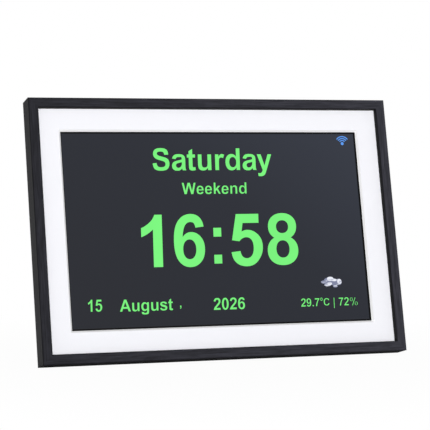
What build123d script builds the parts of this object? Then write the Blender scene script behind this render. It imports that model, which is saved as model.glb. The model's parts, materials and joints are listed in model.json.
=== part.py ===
from build123d import *
import os
from math import cos, radians, sin, sqrt, tan

# A digital calendar clock: a mitred wooden frame with a white mat round a flat display, a moulded
# rear cover that holds the electronics, and a leg that folds out of the cover.
# The clock is drawn upright, with x to the right seen from the front, y from the frame's front face
# to the back and z up from the middle of the frame, and is leaned back on its leg at the end.
# Lengths are in millimetres and angles in degrees.

# Clearances that several pieces share
SLIP_FIT = 0.2
RUNNING_FIT = 0.05
OVERRUN = 1.0

# Display module: the lit picture, its borders, and the layers behind the steel bezel
ACTIVE_WIDTH = 216.96
ACTIVE_HEIGHT = 135.6
REVEAL = 0.75
MODULE_SIDE_BORDER = 6.25
MODULE_END_BORDER = 6.7
BEZEL_SHEET = 0.4
BEZEL_SETBACK = 0.5
BEZEL_SKIRT = 3.6
GLASS_THICKNESS = 1.4
FILM_THICKNESS = 0.6
GUIDE_THICKNESS = 3.0
LED_BAR_HEIGHT = 2.0
TRAY_FLOOR = 0.6
TRAY_WALL = 1.2

# Mat board, bevelled round its opening
MAT_SIDE_MARGIN = 15.65
MAT_END_MARGIN = 15.8
MAT_THICKNESS = 1.5
MAT_BEVEL = 1.2

# Frame rails: an L section whose lip holds the mat
RAIL_FACE = 6.85
RAIL_WALL = 4.0
RAIL_LIP = 4.5
RAIL_EASE = 0.7

# Glued corner blocks, and the clamps that hold the display to them
BLOCK_LENGTH = 30.0
BLOCK_STEP = 13.0
BLOCK_GAP = 0.6
CLAMP_ROOM = 4.0
CLAMP_WIDTH = 10.0
CLAMP_SHEET = 0.8
CLAMP_LAP = 7.0
CLAMP_EDGE_GAP = 1.5
CLAMP_CORNER = 1.5

# Screws: large ones for the rear cover, small ones inside
COVER_SCREW_RADIUS = 1.4
COVER_SCREW_HEAD_RADIUS = 2.7
COVER_SCREW_HEAD = 1.6
COVER_SCREW_LENGTH = 8.0
SMALL_SCREW_RADIUS = 1.0
SMALL_SCREW_HEAD_RADIUS = 1.9
SMALL_SCREW_HEAD = 1.3
SMALL_SCREW_BITE = 4.0
SCREW_TIP_GAP = 0.4
CROSS_WIDTH = 0.7
CROSS_DEPTH = 0.7
CROSS_SHARE = 0.72

# Rear cover: a flange on the rails and a raised box
COVER_INSET = 2.5
COVER_CORNER = 5.0
COVER_WALL = 2.0
BOX_SIDE_MARGIN = 27.0
BOX_TOP_MARGIN = 19.0
BOX_BOTTOM_MARGIN = 14.0
BOX_RISE = 12.0
BOX_CORNER = 9.0
BOX_EDGE = 2.5
BOSS_RADIUS = 2.9
VENT_COUNT = 9
VENT_WIDTH = 1.8
VENT_LENGTH = 24.0
VENT_PITCH = 4.6
KEYHOLE_SPACING = 140.0
KEYHOLE_DROP = 18.0
KEYHOLE_RADIUS = 4.0
KEYHOLE_SLOT_WIDTH = 4.0
KEYHOLE_SLOT_RISE = 7.0

# Main board and what is soldered to it; shares are of the board, from its middle
BOARD_GAP = 3.0
BOARD_THICKNESS = 1.6
MAIN_BOARD_WIDTH = 62.0
MAIN_BOARD_HEIGHT = 102.0
MAIN_BOARD_EDGE_GAP = 3.0
BOSS_INSET = 4.0
PROCESSOR_SIZE = 16.0
PROCESSOR_HEIGHT = 1.4
PROCESSOR_SHARE = 0.10
MEMORY_WIDTH = 8.0
MEMORY_LENGTH = 12.0
MEMORY_HEIGHT = 1.1
MEMORY_COUNT = 2
MEMORY_GAP = 3.0
MEMORY_SHARE = -0.18
WIRELESS_WIDTH = 16.0
WIRELESS_LENGTH = 18.0
WIRELESS_HEIGHT = 2.4
WIRELESS_EDGE_GAP = 9.4
WIRELESS_SHARE = 0.12
CAPACITOR_RADIUS = 3.15
CAPACITOR_HEIGHT = 5.8
CAPACITOR_BASE = 0.8
CAPACITOR_SHARES = ((0.12, -0.24), (0.28, -0.26), (0.28, -0.34))
CELL_RADIUS = 10.0
CELL_HEIGHT = 3.2
CELL_EDGE_GAP = 10.0
CELL_SHARE = -0.18
HOLDER_WALL = 1.2
HOLDER_FLOOR = 0.8
HOLDER_RIM = 2.4
CONNECTOR_WIDTH = 5.0
CONNECTOR_DEPTH = 2.6
CONNECTOR_MARGIN = 1.0
DISPLAY_CONNECTOR_LENGTH = 24.0
DISPLAY_CONNECTOR_RISE = 4.0
DISPLAY_CONNECTOR_GAP = 0.5
SPEAKER_CONNECTOR_LENGTH = 7.0
SPEAKER_CONNECTOR_DEPTH = 4.0
SPEAKER_CONNECTOR_SHARE = -0.12

# Display driver board on the back of the display, and the two flat ribbons
DRIVER_BOARD_WIDTH = 176.0
DRIVER_BOARD_HEIGHT = 11.0
DRIVER_BOARD_THICKNESS = 0.8
DRIVER_BOARD_GAP = 0.5
RIBBON_SHEET = 0.3
DISPLAY_RIBBON_WIDTH = 20.0
DISPLAY_RIBBON_LENGTH = 7.0
KEY_RIBBON_WIDTH = 8.0
KEY_RIBBON_DROP = 13.0
KEY_RIBBON_GAP = 0.3

# Power inlet: a round socket with its contact pin, in the side wall of the box
JACK_LENGTH = 13.0
JACK_WIDTH = 9.0
JACK_HEIGHT = 9.6
JACK_AXIS_RISE = 5.6
JACK_NOZZLE_RADIUS = 3.5
JACK_BORE_RADIUS = 2.8
JACK_BORE_DEPTH = 9.5
JACK_SINK = 0.4
JACK_GAP = 0.3
JACK_PIN_RADIUS = 1.0
JACK_PIN_ROOT = 2.0
JACK_PIN_SINK = 1.5
JACK_SHARE = -0.13

# Keys on the rear cover, their switches and their board
KEY_NAMES = ("menu", "up", "down", "enter", "power")
KEY_WIDTH = 10.0
KEY_HEIGHT = 6.5
KEY_CORNER = 1.6
KEY_EDGE = 0.6
KEY_PROUD = 1.4
KEY_GAP = 0.3
KEY_FLANGE = 1.0
KEY_FLANGE_RIM = 1.0
KEY_FLANGE_GAP = 0.05
KEY_PITCH = 13.0
KEY_TRAVEL = 0.5
KEY_BOARD_WIDTH = 15.0
KEY_BOARD_THICKNESS = 1.2
KEY_BOARD_END = 12.0
KEY_BOARD_EDGE_GAP = 3.0
KEY_BOSS_INSET = 3.6
KEY_BOSS_RADIUS = 2.4
SWITCH_SIZE = 6.0
SWITCH_HEIGHT = 3.5
PLUNGER_RADIUS = 1.7
PLUNGER_PROUD = 1.5
PLUNGER_SEAT = 1.0

# Speaker behind the grille
SPEAKER_RADIUS = 14.0
SPEAKER_FROM_SIDE = 45.0
SPEAKER_FROM_BOTTOM = 37.0
GASKET_THICKNESS = 1.0
GASKET_WIDTH = 2.0
BASKET_RIM = 1.0
BASKET_CUP_RADIUS = 11.5
BASKET_CUP_DEPTH = 2.5
BASKET_WALL = 0.8
MAGNET_RADIUS = 7.5
MAGNET_DEPTH = 2.5
CONE_SHEET = 0.5
CONE_DEPTH = 1.6
CONE_CAP_RADIUS = 4.0
EAR_LENGTH = 6.0
EAR_WIDTH = 6.0
GRILLE_RADIUS = 11.5
GRILLE_SLOT = 1.6
GRILLE_PITCH = 3.2

# Aerial stuck inside the cover, and the two round leads
AERIAL_LENGTH = 44.0
AERIAL_WIDTH = 9.0
AERIAL_SHEET = 0.3
AERIAL_DROP = 12.5
AERIAL_LEAD_RADIUS = 0.55
AERIAL_LEAD_LAP = 8.0
SPEAKER_LEAD_RADIUS = 0.8
LEAD_ARC_SHARE = 0.45
LEAD_GAP = 0.2
AERIAL_LEAD_SHARES = ((0.42, 0.10, 0.05), (0.74, 0.46, 0.32), (0.95, 0.86, 0.66))
SPEAKER_LEAD_SHARES = ((0.12, 0.25, 0.02), (0.27, 0.80, 0.12), (0.52, 0.94, 0.46), (0.80, 1.0, 1.0))

# Stand: leg, hinge pin, bracket and foot pad
LEAN = 13.2
LEG_ANGLE = 28.7
HINGE_DROP = 52.0
PIN_RADIUS = 1.5
PIN_PRESS = 0.02
BARREL_RADIUS = 3.4
BARREL_LENGTH = 40.0
BARREL_SINK = 0.2
BARREL_GAP = 0.4
LUG_GAP = 0.4
LUG_THICKNESS = 4.0
PLATE_THICKNESS = 1.6
PLATE_RIM = 2.0
PLATE_BELOW = 6.0
PLATE_ABOVE = 8.0
WELL_GAP = 0.5
LEG_THICKNESS = 4.6
LEG_FOOT_WIDTH = 50.0
LEG_NECK = 8.0
LEG_CLEARANCE = 0.4
LEG_SIDE_CLEARANCE = 0.6
LEG_RIM = 4.0
LEG_PANEL_DEPTH = 0.6
LEG_HOLLOW_DEPTH = 2.2
LEG_HOLLOW_RIM = 3.0
LEG_FOOT_SOLID = 12.0
LEG_CORNER = 3.0
HEEL_GAP = 0.15
PAD_THICKNESS = 2.0

# Frame size, from the display outwards
OPENING_WIDTH = ACTIVE_WIDTH + 2 * REVEAL
OPENING_HEIGHT = ACTIVE_HEIGHT + 2 * REVEAL
FRAME_WIDTH = OPENING_WIDTH + 2 * (MAT_SIDE_MARGIN + RAIL_FACE)
FRAME_HEIGHT = OPENING_HEIGHT + 2 * (MAT_END_MARGIN + RAIL_FACE)
INNER_WIDTH = FRAME_WIDTH - 2 * RAIL_WALL
INNER_HEIGHT = FRAME_HEIGHT - 2 * RAIL_WALL
MODULE_WIDTH = ACTIVE_WIDTH + 2 * MODULE_SIDE_BORDER
MODULE_HEIGHT = ACTIVE_HEIGHT + 2 * MODULE_END_BORDER

# Depths, from the front face backwards
MAT_FRONT = RAIL_LIP
MAT_BACK = MAT_FRONT + MAT_THICKNESS
GLASS_FRONT = MAT_BACK + BEZEL_SHEET
FILM_FRONT = GLASS_FRONT + GLASS_THICKNESS
GUIDE_FRONT = FILM_FRONT + FILM_THICKNESS
TRAY_FRONT = GUIDE_FRONT + GUIDE_THICKNESS
MODULE_BACK = TRAY_FRONT + TRAY_FLOOR
CLAMP_BACK = MODULE_BACK + CLAMP_SHEET
RAIL_DEPTH = MODULE_BACK + CLAMP_ROOM
FLANGE_BACK = RAIL_DEPTH + COVER_WALL
COVER_BACK = FLANGE_BACK + BOX_RISE
BOX_INSIDE = COVER_BACK - COVER_WALL
BOARD_FRONT = MODULE_BACK + BOARD_GAP
BOARD_BACK = BOARD_FRONT + BOARD_THICKNESS

# Raised box of the cover, seen from the front
BOX_WIDTH = FRAME_WIDTH - 2 * BOX_SIDE_MARGIN
BOX_TOP = FRAME_HEIGHT / 2 - BOX_TOP_MARGIN
BOX_BOTTOM = BOX_BOTTOM_MARGIN - FRAME_HEIGHT / 2
BOX_HEIGHT = BOX_TOP - BOX_BOTTOM
BOX_MIDDLE = (BOX_TOP + BOX_BOTTOM) / 2
BOX_INNER_SIDE = BOX_WIDTH / 2 - COVER_WALL

# Corner blocks and the screws in them
BLOCK_HEIGHT = INNER_HEIGHT / 2 - MODULE_HEIGHT / 2 - BLOCK_GAP
BLOCK_Z = INNER_HEIGHT / 2 - BLOCK_HEIGHT / 2
BLOCK_X = INNER_WIDTH / 2 - BLOCK_LENGTH / 2
CLAMP_X = INNER_WIDTH / 2 - BLOCK_LENGTH + BLOCK_STEP / 2
CLAMP_INNER = MODULE_HEIGHT / 2 - CLAMP_LAP
CLAMP_OUTER = INNER_HEIGHT / 2 - CLAMP_EDGE_GAP
COVER_SCREW_X = INNER_WIDTH / 2 - (BLOCK_LENGTH - BLOCK_STEP) / 2
CORNERS = ((-1, -1), (-1, 1), (1, -1), (1, 1))

# Boards: the driver board lies clear of the clamps, and its ribbon reaches up to the main board's foot
DRIVER_BOARD_Z = DRIVER_BOARD_GAP + DRIVER_BOARD_HEIGHT / 2 - CLAMP_INNER
DRIVER_BOARD_BACK = MODULE_BACK + DRIVER_BOARD_THICKNESS
DISPLAY_RIBBON_Z = DRIVER_BOARD_Z + CONNECTOR_WIDTH / 2 + DISPLAY_RIBBON_LENGTH / 2
DISPLAY_CONNECTOR_Z = DRIVER_BOARD_Z + CONNECTOR_WIDTH + DISPLAY_RIBBON_LENGTH
MAIN_BOARD_BOTTOM = DISPLAY_CONNECTOR_Z - CONNECTOR_WIDTH / 2 - DISPLAY_CONNECTOR_RISE
MAIN_BOARD_TOP = MAIN_BOARD_BOTTOM + MAIN_BOARD_HEIGHT
MAIN_BOARD_Z = (MAIN_BOARD_TOP + MAIN_BOARD_BOTTOM) / 2
MAIN_BOARD_X = BOX_INNER_SIDE - MAIN_BOARD_EDGE_GAP - MAIN_BOARD_WIDTH / 2
MAIN_BOARD_LEFT = MAIN_BOARD_X - MAIN_BOARD_WIDTH / 2
BOARD_SCREW_SIDE = MAIN_BOARD_WIDTH / 2 - BOSS_INSET
BOARD_SCREW_END = MAIN_BOARD_HEIGHT / 2 - BOSS_INSET
BOARD_SCREW_PLACES = [
    (MAIN_BOARD_X + side * BOARD_SCREW_SIDE, MAIN_BOARD_Z + end * BOARD_SCREW_END) for side, end in CORNERS
]
HOLDER_RADIUS = CELL_RADIUS + SLIP_FIT + HOLDER_WALL
CELL_Z = MAIN_BOARD_BOTTOM + CELL_EDGE_GAP + HOLDER_RADIUS
CELL_PLACE = (MAIN_BOARD_X + CELL_SHARE * MAIN_BOARD_WIDTH, CELL_Z)
MEMORY_Z = CELL_Z + HOLDER_RADIUS + MEMORY_GAP + MEMORY_LENGTH / 2
MEMORY_HEIGHTS = [MEMORY_Z + index * (MEMORY_LENGTH + MEMORY_GAP) for index in range(MEMORY_COUNT)]
WIRELESS_Z = MAIN_BOARD_TOP - WIRELESS_EDGE_GAP - WIRELESS_LENGTH / 2
DISPLAY_CONNECTOR_FRONT = MODULE_BACK + DISPLAY_CONNECTOR_GAP
DISPLAY_RIBBON_FRONT = (DRIVER_BOARD_BACK + BOARD_FRONT - RIBBON_SHEET) / 2
KEY_RIBBON_Z = MAIN_BOARD_TOP - KEY_RIBBON_DROP
JACK_Z = MAIN_BOARD_Z + JACK_SHARE * MAIN_BOARD_HEIGHT
JACK_Y = BOARD_BACK + JACK_AXIS_RISE
JACK_FACE = BOX_INNER_SIDE - SLIP_FIT
JACK_MOUTH = BOX_WIDTH / 2 - JACK_SINK
JACK_BORE_END = JACK_MOUTH - JACK_BORE_DEPTH
JACK_PIN_START = JACK_BORE_END - JACK_PIN_ROOT
SPEAKER_CONNECTOR_Z = MAIN_BOARD_Z + SPEAKER_CONNECTOR_SHARE * MAIN_BOARD_HEIGHT

# Keys
KEY_BOARD_HEIGHT = (len(KEY_NAMES) - 1) * KEY_PITCH + 2 * KEY_BOARD_END
KEY_X = KEY_BOARD_EDGE_GAP + KEY_BOARD_WIDTH / 2 - BOX_INNER_SIDE
KEY_BOARD_Z = MAIN_BOARD_TOP - KEY_BOARD_HEIGHT / 2
KEY_PLACES = {
    name: KEY_BOARD_Z + ((len(KEY_NAMES) - 1) / 2 - index) * KEY_PITCH
    for index, name in enumerate(KEY_NAMES)
}
KEY_FLANGE_BACK = BOX_INSIDE - KEY_FLANGE_GAP
KEY_FLANGE_FRONT = KEY_FLANGE_BACK - KEY_FLANGE
KEY_BOARD_BACK = KEY_FLANGE_FRONT - PLUNGER_PROUD - SWITCH_HEIGHT
KEY_BOARD_FRONT = KEY_BOARD_BACK - KEY_BOARD_THICKNESS
KEY_SCREW_PLACES = [
    (KEY_X, KEY_BOARD_Z + end * (KEY_BOARD_HEIGHT / 2 - KEY_BOSS_INSET)) for end in (-1, 1)
]
KEY_CONNECTOR_X = KEY_X + KEY_BOARD_WIDTH / 2 - CONNECTOR_WIDTH / 2

# Speaker
SPEAKER_X = SPEAKER_FROM_SIDE - BOX_INNER_SIDE
SPEAKER_Z = BOX_BOTTOM + COVER_WALL + SPEAKER_FROM_BOTTOM
GASKET_FRONT = BOX_INSIDE - GASKET_THICKNESS
BASKET_FRONT = GASKET_FRONT - BASKET_RIM
CUP_FRONT = BASKET_FRONT - BASKET_CUP_DEPTH
EAR_REACH = SPEAKER_RADIUS + EAR_LENGTH / 2
SPEAKER_SCREW_PLACES = [(SPEAKER_X, SPEAKER_Z + end * EAR_REACH) for end in (-1, 1)]
AERIAL_Z = BOX_TOP - COVER_WALL - AERIAL_DROP

# Hinge, and the lean of the whole clock
HINGE_Z = BOX_TOP - HINGE_DROP
HINGE_Y = COVER_BACK - BARREL_SINK - BARREL_RADIUS
PLATE_BACK = HINGE_Y - BARREL_RADIUS - BARREL_GAP
WELL_FLOOR = PLATE_BACK - PLATE_THICKNESS
PLATE_WIDTH = BARREL_LENGTH + 2 * (LUG_GAP + LUG_THICKNESS + PLATE_RIM)
PLATE_HEIGHT = PLATE_BELOW + PLATE_ABOVE
PLATE_Z = HINGE_Z + (PLATE_ABOVE - PLATE_BELOW) / 2
LUG_X = BARREL_LENGTH / 2 + LUG_GAP + LUG_THICKNESS / 2
POCKET_FLOOR = COVER_BACK - LEG_THICKNESS - LEG_CLEARANCE
POCKET_WIDTH = LEG_FOOT_WIDTH + 2 * LEG_SIDE_CLEARANCE
BRACKET_SCREW_SEAT = WELL_FLOOR - COVER_WALL
BRACKET_SCREW_LENGTH = HINGE_Y - PIN_RADIUS - SCREW_TIP_GAP - BRACKET_SCREW_SEAT
LEG_BACK = COVER_BACK - HINGE_Y
LEG_FRONT = LEG_BACK - LEG_THICKNESS
HEEL_REACH = (LEG_FRONT * cos(radians(LEG_ANGLE)) + HINGE_Y - PLATE_BACK - HEEL_GAP) / sin(radians(LEG_ANGLE))
LIFT = RAIL_DEPTH * sin(radians(LEAN)) + FRAME_HEIGHT / 2 * cos(radians(LEAN))
HINGE_HEIGHT = LIFT - HINGE_Y * sin(radians(LEAN)) + HINGE_Z * cos(radians(LEAN))
LEG_LENGTH = HINGE_HEIGHT / cos(radians(LEG_ANGLE - LEAN))

# Key ribbon, clear of the heads of the bracket's screws
KEY_RIBBON_FRONT = BRACKET_SCREW_SEAT - SMALL_SCREW_HEAD - KEY_RIBBON_GAP - RIBBON_SHEET
KEY_CONNECTOR_FRONT = KEY_RIBBON_FRONT - CONNECTOR_MARGIN


def layer(outline, front, thickness):
    """A drawing in the plane of the frame's face, made solid from y = front backwards."""
    return extrude(Plane.XZ.offset(-(front + thickness)) * outline, thickness)


def slab(width, height, front, thickness, x=0, z=0):
    return layer(Pos(x, z) * Rectangle(width, height), front, thickness)


def pillar(radius, front, length, x=0, z=0):
    return layer(Pos(x, z) * Circle(radius), front, length)


def rod(radius, start, length, y, z):
    """A round bar along x."""
    bar = Cylinder(radius, length, align=(Align.CENTER, Align.CENTER, Align.MIN))
    return Pos(start, y, z) * Rot(0, 90, 0) * bar


def rounded(width, height, radius, x=0, z=0):
    return Pos(x, z) * RectangleRounded(width, height, radius)


def screw(x, z, seat, length, radius, head_radius, head, driven_from_back=False):
    """A cross-head screw along y whose head sits on the face y = seat."""
    head_front = seat if driven_from_back else seat - head
    shank_front = seat - length if driven_from_back else seat
    cross_front = seat + head - CROSS_DEPTH if driven_from_back else seat - head - OVERRUN
    body = pillar(head_radius, head_front, head, x, z) + pillar(radius, shank_front, length, x, z)
    bar = 2 * CROSS_SHARE * head_radius
    cross = Rectangle(bar, CROSS_WIDTH) + Rectangle(CROSS_WIDTH, bar)
    return body - layer(Pos(x, z) * cross, cross_front, CROSS_DEPTH + OVERRUN)


def small_screw(x, z, seat, length, driven_from_back=False):
    sizes = (SMALL_SCREW_RADIUS, SMALL_SCREW_HEAD_RADIUS, SMALL_SCREW_HEAD)
    return screw(x, z, seat, length, *sizes, driven_from_back)


def small_hole(x, z, front, length):
    return pillar(SMALL_SCREW_RADIUS + RUNNING_FIT, front, length, x, z)


def lead(points, radius):
    """A round lead along straight runs joined by arcs as large as the runs allow."""
    points = [Vector(point) for point in points]
    runs = [after - before for before, after in zip(points, points[1:])]
    arcs = []
    for before, after in zip(runs, runs[1:]):
        half_turn = radians(before.get_angle(after)) / 2
        arcs.append(LEAD_ARC_SHARE * min(before.length, after.length) / tan(half_turn))
    path = FilletPolyline(*points, radius=arcs)
    print("lead arcs", [round(arc, 1) for arc in arcs], "length", round(path.length, 1))
    return sweep(Plane(points[0], z_dir=runs[0]) * Circle(radius), path=path)


def between(start, end, shares):
    """A point at a share of the way from start to end along each axis."""
    return tuple(a + (b - a) * share for a, b, share in zip(start, end, shares))


def rail_outline(side, width):
    """One mitred side of the frame, as wide as asked."""
    right, top = FRAME_WIDTH / 2, FRAME_HEIGHT / 2
    turns = {
        "top": ((-1, 1), (1, 1)),
        "right": ((1, 1), (1, -1)),
        "bottom": ((1, -1), (-1, -1)),
        "left": ((-1, -1), (-1, 1)),
    }
    outer = [(across * right, up * top) for across, up in turns[side]]
    inner = [(across * (right - width), up * (top - width)) for across, up in turns[side]]
    return make_face(Polyline(*outer, *reversed(inner), close=True))


def frame_rail(side):
    lip = layer(rail_outline(side, RAIL_FACE), 0, RAIL_LIP)
    wall = layer(rail_outline(side, RAIL_WALL), RAIL_LIP, RAIL_DEPTH - RAIL_LIP)
    rail = lip + wall
    along = Axis.X if side in ("top", "bottom") else Axis.Z
    front_edges = rail.edges().filter_by(along).group_by(Axis.Y)[0]
    return fillet(front_edges, RAIL_EASE)


def corner_block(side, end):
    block = slab(BLOCK_LENGTH, BLOCK_HEIGHT, MAT_BACK, RAIL_DEPTH - MAT_BACK, side * BLOCK_X, end * BLOCK_Z)
    step_depth = RAIL_DEPTH - MODULE_BACK + OVERRUN
    step = slab(BLOCK_STEP, BLOCK_HEIGHT + OVERRUN, MODULE_BACK, step_depth, side * CLAMP_X, end * BLOCK_Z)
    cover_hole_depth = COVER_SCREW_LENGTH - COVER_WALL + SCREW_TIP_GAP
    cover_hole = pillar(
        COVER_SCREW_RADIUS + RUNNING_FIT,
        RAIL_DEPTH - cover_hole_depth,
        cover_hole_depth + OVERRUN,
        side * COVER_SCREW_X,
        end * BLOCK_Z,
    )
    clamp_hole_depth = SMALL_SCREW_BITE - CLAMP_SHEET + SCREW_TIP_GAP
    clamp_hole = small_hole(
        side * CLAMP_X, end * BLOCK_Z, MODULE_BACK - clamp_hole_depth, clamp_hole_depth + OVERRUN
    )
    return block - step - cover_hole - clamp_hole


def mat_board():
    board = slab(INNER_WIDTH - 2 * SLIP_FIT, INNER_HEIGHT - 2 * SLIP_FIT, MAT_FRONT, MAT_THICKNESS)
    wide = Rectangle(OPENING_WIDTH + 2 * MAT_BEVEL, OPENING_HEIGHT + 2 * MAT_BEVEL)
    narrow = Rectangle(OPENING_WIDTH, OPENING_HEIGHT)
    return board - loft([Plane.XZ.offset(-MAT_FRONT) * wide, Plane.XZ.offset(-MAT_BACK) * narrow])


def lcd_bezel():
    sheet = 2 * BEZEL_SHEET
    window = 2 * BEZEL_SETBACK
    shell = slab(MODULE_WIDTH, MODULE_HEIGHT, MAT_BACK, BEZEL_SKIRT)
    hollow = slab(MODULE_WIDTH - sheet, MODULE_HEIGHT - sheet, GLASS_FRONT, BEZEL_SKIRT)
    opening = slab(OPENING_WIDTH + window, OPENING_HEIGHT + window, MAT_BACK - OVERRUN, BEZEL_SKIRT)
    return shell - hollow - opening


TRAY_WIDTH = MODULE_WIDTH - 2 * (BEZEL_SHEET + SLIP_FIT)
TRAY_HEIGHT = MODULE_HEIGHT - 2 * (BEZEL_SHEET + SLIP_FIT)
GLASS_WIDTH = TRAY_WIDTH - 2 * (TRAY_WALL + SLIP_FIT)
GLASS_HEIGHT = TRAY_HEIGHT - 2 * (TRAY_WALL + SLIP_FIT)
GUIDE_HEIGHT = GLASS_HEIGHT - LED_BAR_HEIGHT - SLIP_FIT
GUIDE_Z = (GLASS_HEIGHT - GUIDE_HEIGHT) / 2


def backlight_tray():
    shell = slab(TRAY_WIDTH, TRAY_HEIGHT, GLASS_FRONT, MODULE_BACK - GLASS_FRONT)
    inside = 2 * TRAY_WALL
    return shell - slab(TRAY_WIDTH - inside, TRAY_HEIGHT - inside, GLASS_FRONT, TRAY_FRONT - GLASS_FRONT)


def display_pieces():
    led_z = LED_BAR_HEIGHT / 2 - GLASS_HEIGHT / 2
    connector_depth = BOARD_FRONT - DRIVER_BOARD_BACK - SLIP_FIT
    return {
        "mat_board": mat_board(),
        "lcd_bezel": lcd_bezel(),
        "lcd_glass": slab(GLASS_WIDTH, GLASS_HEIGHT, GLASS_FRONT, GLASS_THICKNESS),
        "backlight_films": slab(GLASS_WIDTH, GUIDE_HEIGHT, FILM_FRONT, FILM_THICKNESS, 0, GUIDE_Z),
        "light_guide": slab(GLASS_WIDTH, GUIDE_HEIGHT, GUIDE_FRONT, GUIDE_THICKNESS, 0, GUIDE_Z),
        "led_bar": slab(GLASS_WIDTH, LED_BAR_HEIGHT, GUIDE_FRONT, GUIDE_THICKNESS, 0, led_z),
        "backlight_tray": backlight_tray(),
        "driver_board": slab(
            DRIVER_BOARD_WIDTH, DRIVER_BOARD_HEIGHT, MODULE_BACK, DRIVER_BOARD_THICKNESS, 0, DRIVER_BOARD_Z
        ),
        "driver_connector": slab(
            DISPLAY_CONNECTOR_LENGTH,
            CONNECTOR_WIDTH,
            DRIVER_BOARD_BACK,
            connector_depth,
            MAIN_BOARD_X,
            DRIVER_BOARD_Z,
        ),
        "display_ribbon": slab(
            DISPLAY_RIBBON_WIDTH,
            DISPLAY_RIBBON_LENGTH,
            DISPLAY_RIBBON_FRONT,
            RIBBON_SHEET,
            MAIN_BOARD_X,
            DISPLAY_RIBBON_Z,
        ),
    }


def display_clamp(side, end):
    height = CLAMP_OUTER - CLAMP_INNER
    z = end * (CLAMP_OUTER + CLAMP_INNER) / 2
    plate = layer(rounded(CLAMP_WIDTH, height, CLAMP_CORNER, side * CLAMP_X, z), MODULE_BACK, CLAMP_SHEET)
    return plate - small_hole(side * CLAMP_X, end * BLOCK_Z, MODULE_BACK - OVERRUN, CLAMP_SHEET + 2 * OVERRUN)


def fixing_pieces():
    return {
        "corner_blocks": [corner_block(*corner) for corner in CORNERS],
        "display_clamps": [display_clamp(*corner) for corner in CORNERS],
        "display_clamp_screws": [
            small_screw(side * CLAMP_X, end * BLOCK_Z, CLAMP_BACK, SMALL_SCREW_BITE, True)
            for side, end in CORNERS
        ],
        "rear_cover_screws": [
            screw(
                side * COVER_SCREW_X,
                end * BLOCK_Z,
                FLANGE_BACK,
                COVER_SCREW_LENGTH,
                COVER_SCREW_RADIUS,
                COVER_SCREW_HEAD_RADIUS,
                COVER_SCREW_HEAD,
                True,
            )
            for side, end in CORNERS
        ],
    }


def on_board(width, height, thickness, share, z):
    """A component on the back of the main board, at a share of the board's width and a height."""
    return slab(width, height, BOARD_BACK, thickness, MAIN_BOARD_X + share * MAIN_BOARD_WIDTH, z)


def board_with_holes(width, height, front, thickness, x, z, places):
    board = slab(width, height, front, thickness, x, z)
    for place in places:
        board -= small_hole(*place, front - OVERRUN, thickness + 2 * OVERRUN)
    return board


def capacitor(shares):
    x = MAIN_BOARD_X + shares[0] * MAIN_BOARD_WIDTH
    z = MAIN_BOARD_Z + shares[1] * MAIN_BOARD_HEIGHT
    base = slab(2 * CAPACITOR_RADIUS, 2 * CAPACITOR_RADIUS, BOARD_BACK, CAPACITOR_BASE, x, z)
    return base + pillar(CAPACITOR_RADIUS, BOARD_BACK, CAPACITOR_HEIGHT, x, z)


def cell_holder():
    ring = pillar(HOLDER_RADIUS, BOARD_BACK, HOLDER_FLOOR + HOLDER_RIM, *CELL_PLACE)
    seat = BOARD_BACK + HOLDER_FLOOR
    return ring - pillar(CELL_RADIUS + SLIP_FIT, seat, HOLDER_RIM + OVERRUN, *CELL_PLACE)


def dc_jack():
    axis = (JACK_Y, JACK_Z)
    body_x = JACK_FACE - JACK_LENGTH / 2
    body = slab(JACK_LENGTH, JACK_WIDTH, BOARD_BACK, JACK_HEIGHT, body_x, JACK_Z)
    nozzle = rod(JACK_NOZZLE_RADIUS, body_x, JACK_MOUTH - body_x, *axis)
    bore = rod(JACK_BORE_RADIUS, JACK_BORE_END, JACK_BORE_DEPTH + OVERRUN, *axis)
    pin_hole = rod(JACK_PIN_RADIUS + PIN_PRESS, JACK_PIN_START, JACK_BORE_DEPTH, *axis)
    return body + nozzle - bore - pin_hole


def dc_jack_pin():
    length = JACK_MOUTH - JACK_PIN_SINK - JACK_PIN_START
    return rod(JACK_PIN_RADIUS, JACK_PIN_START, length, JACK_Y, JACK_Z)


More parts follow.
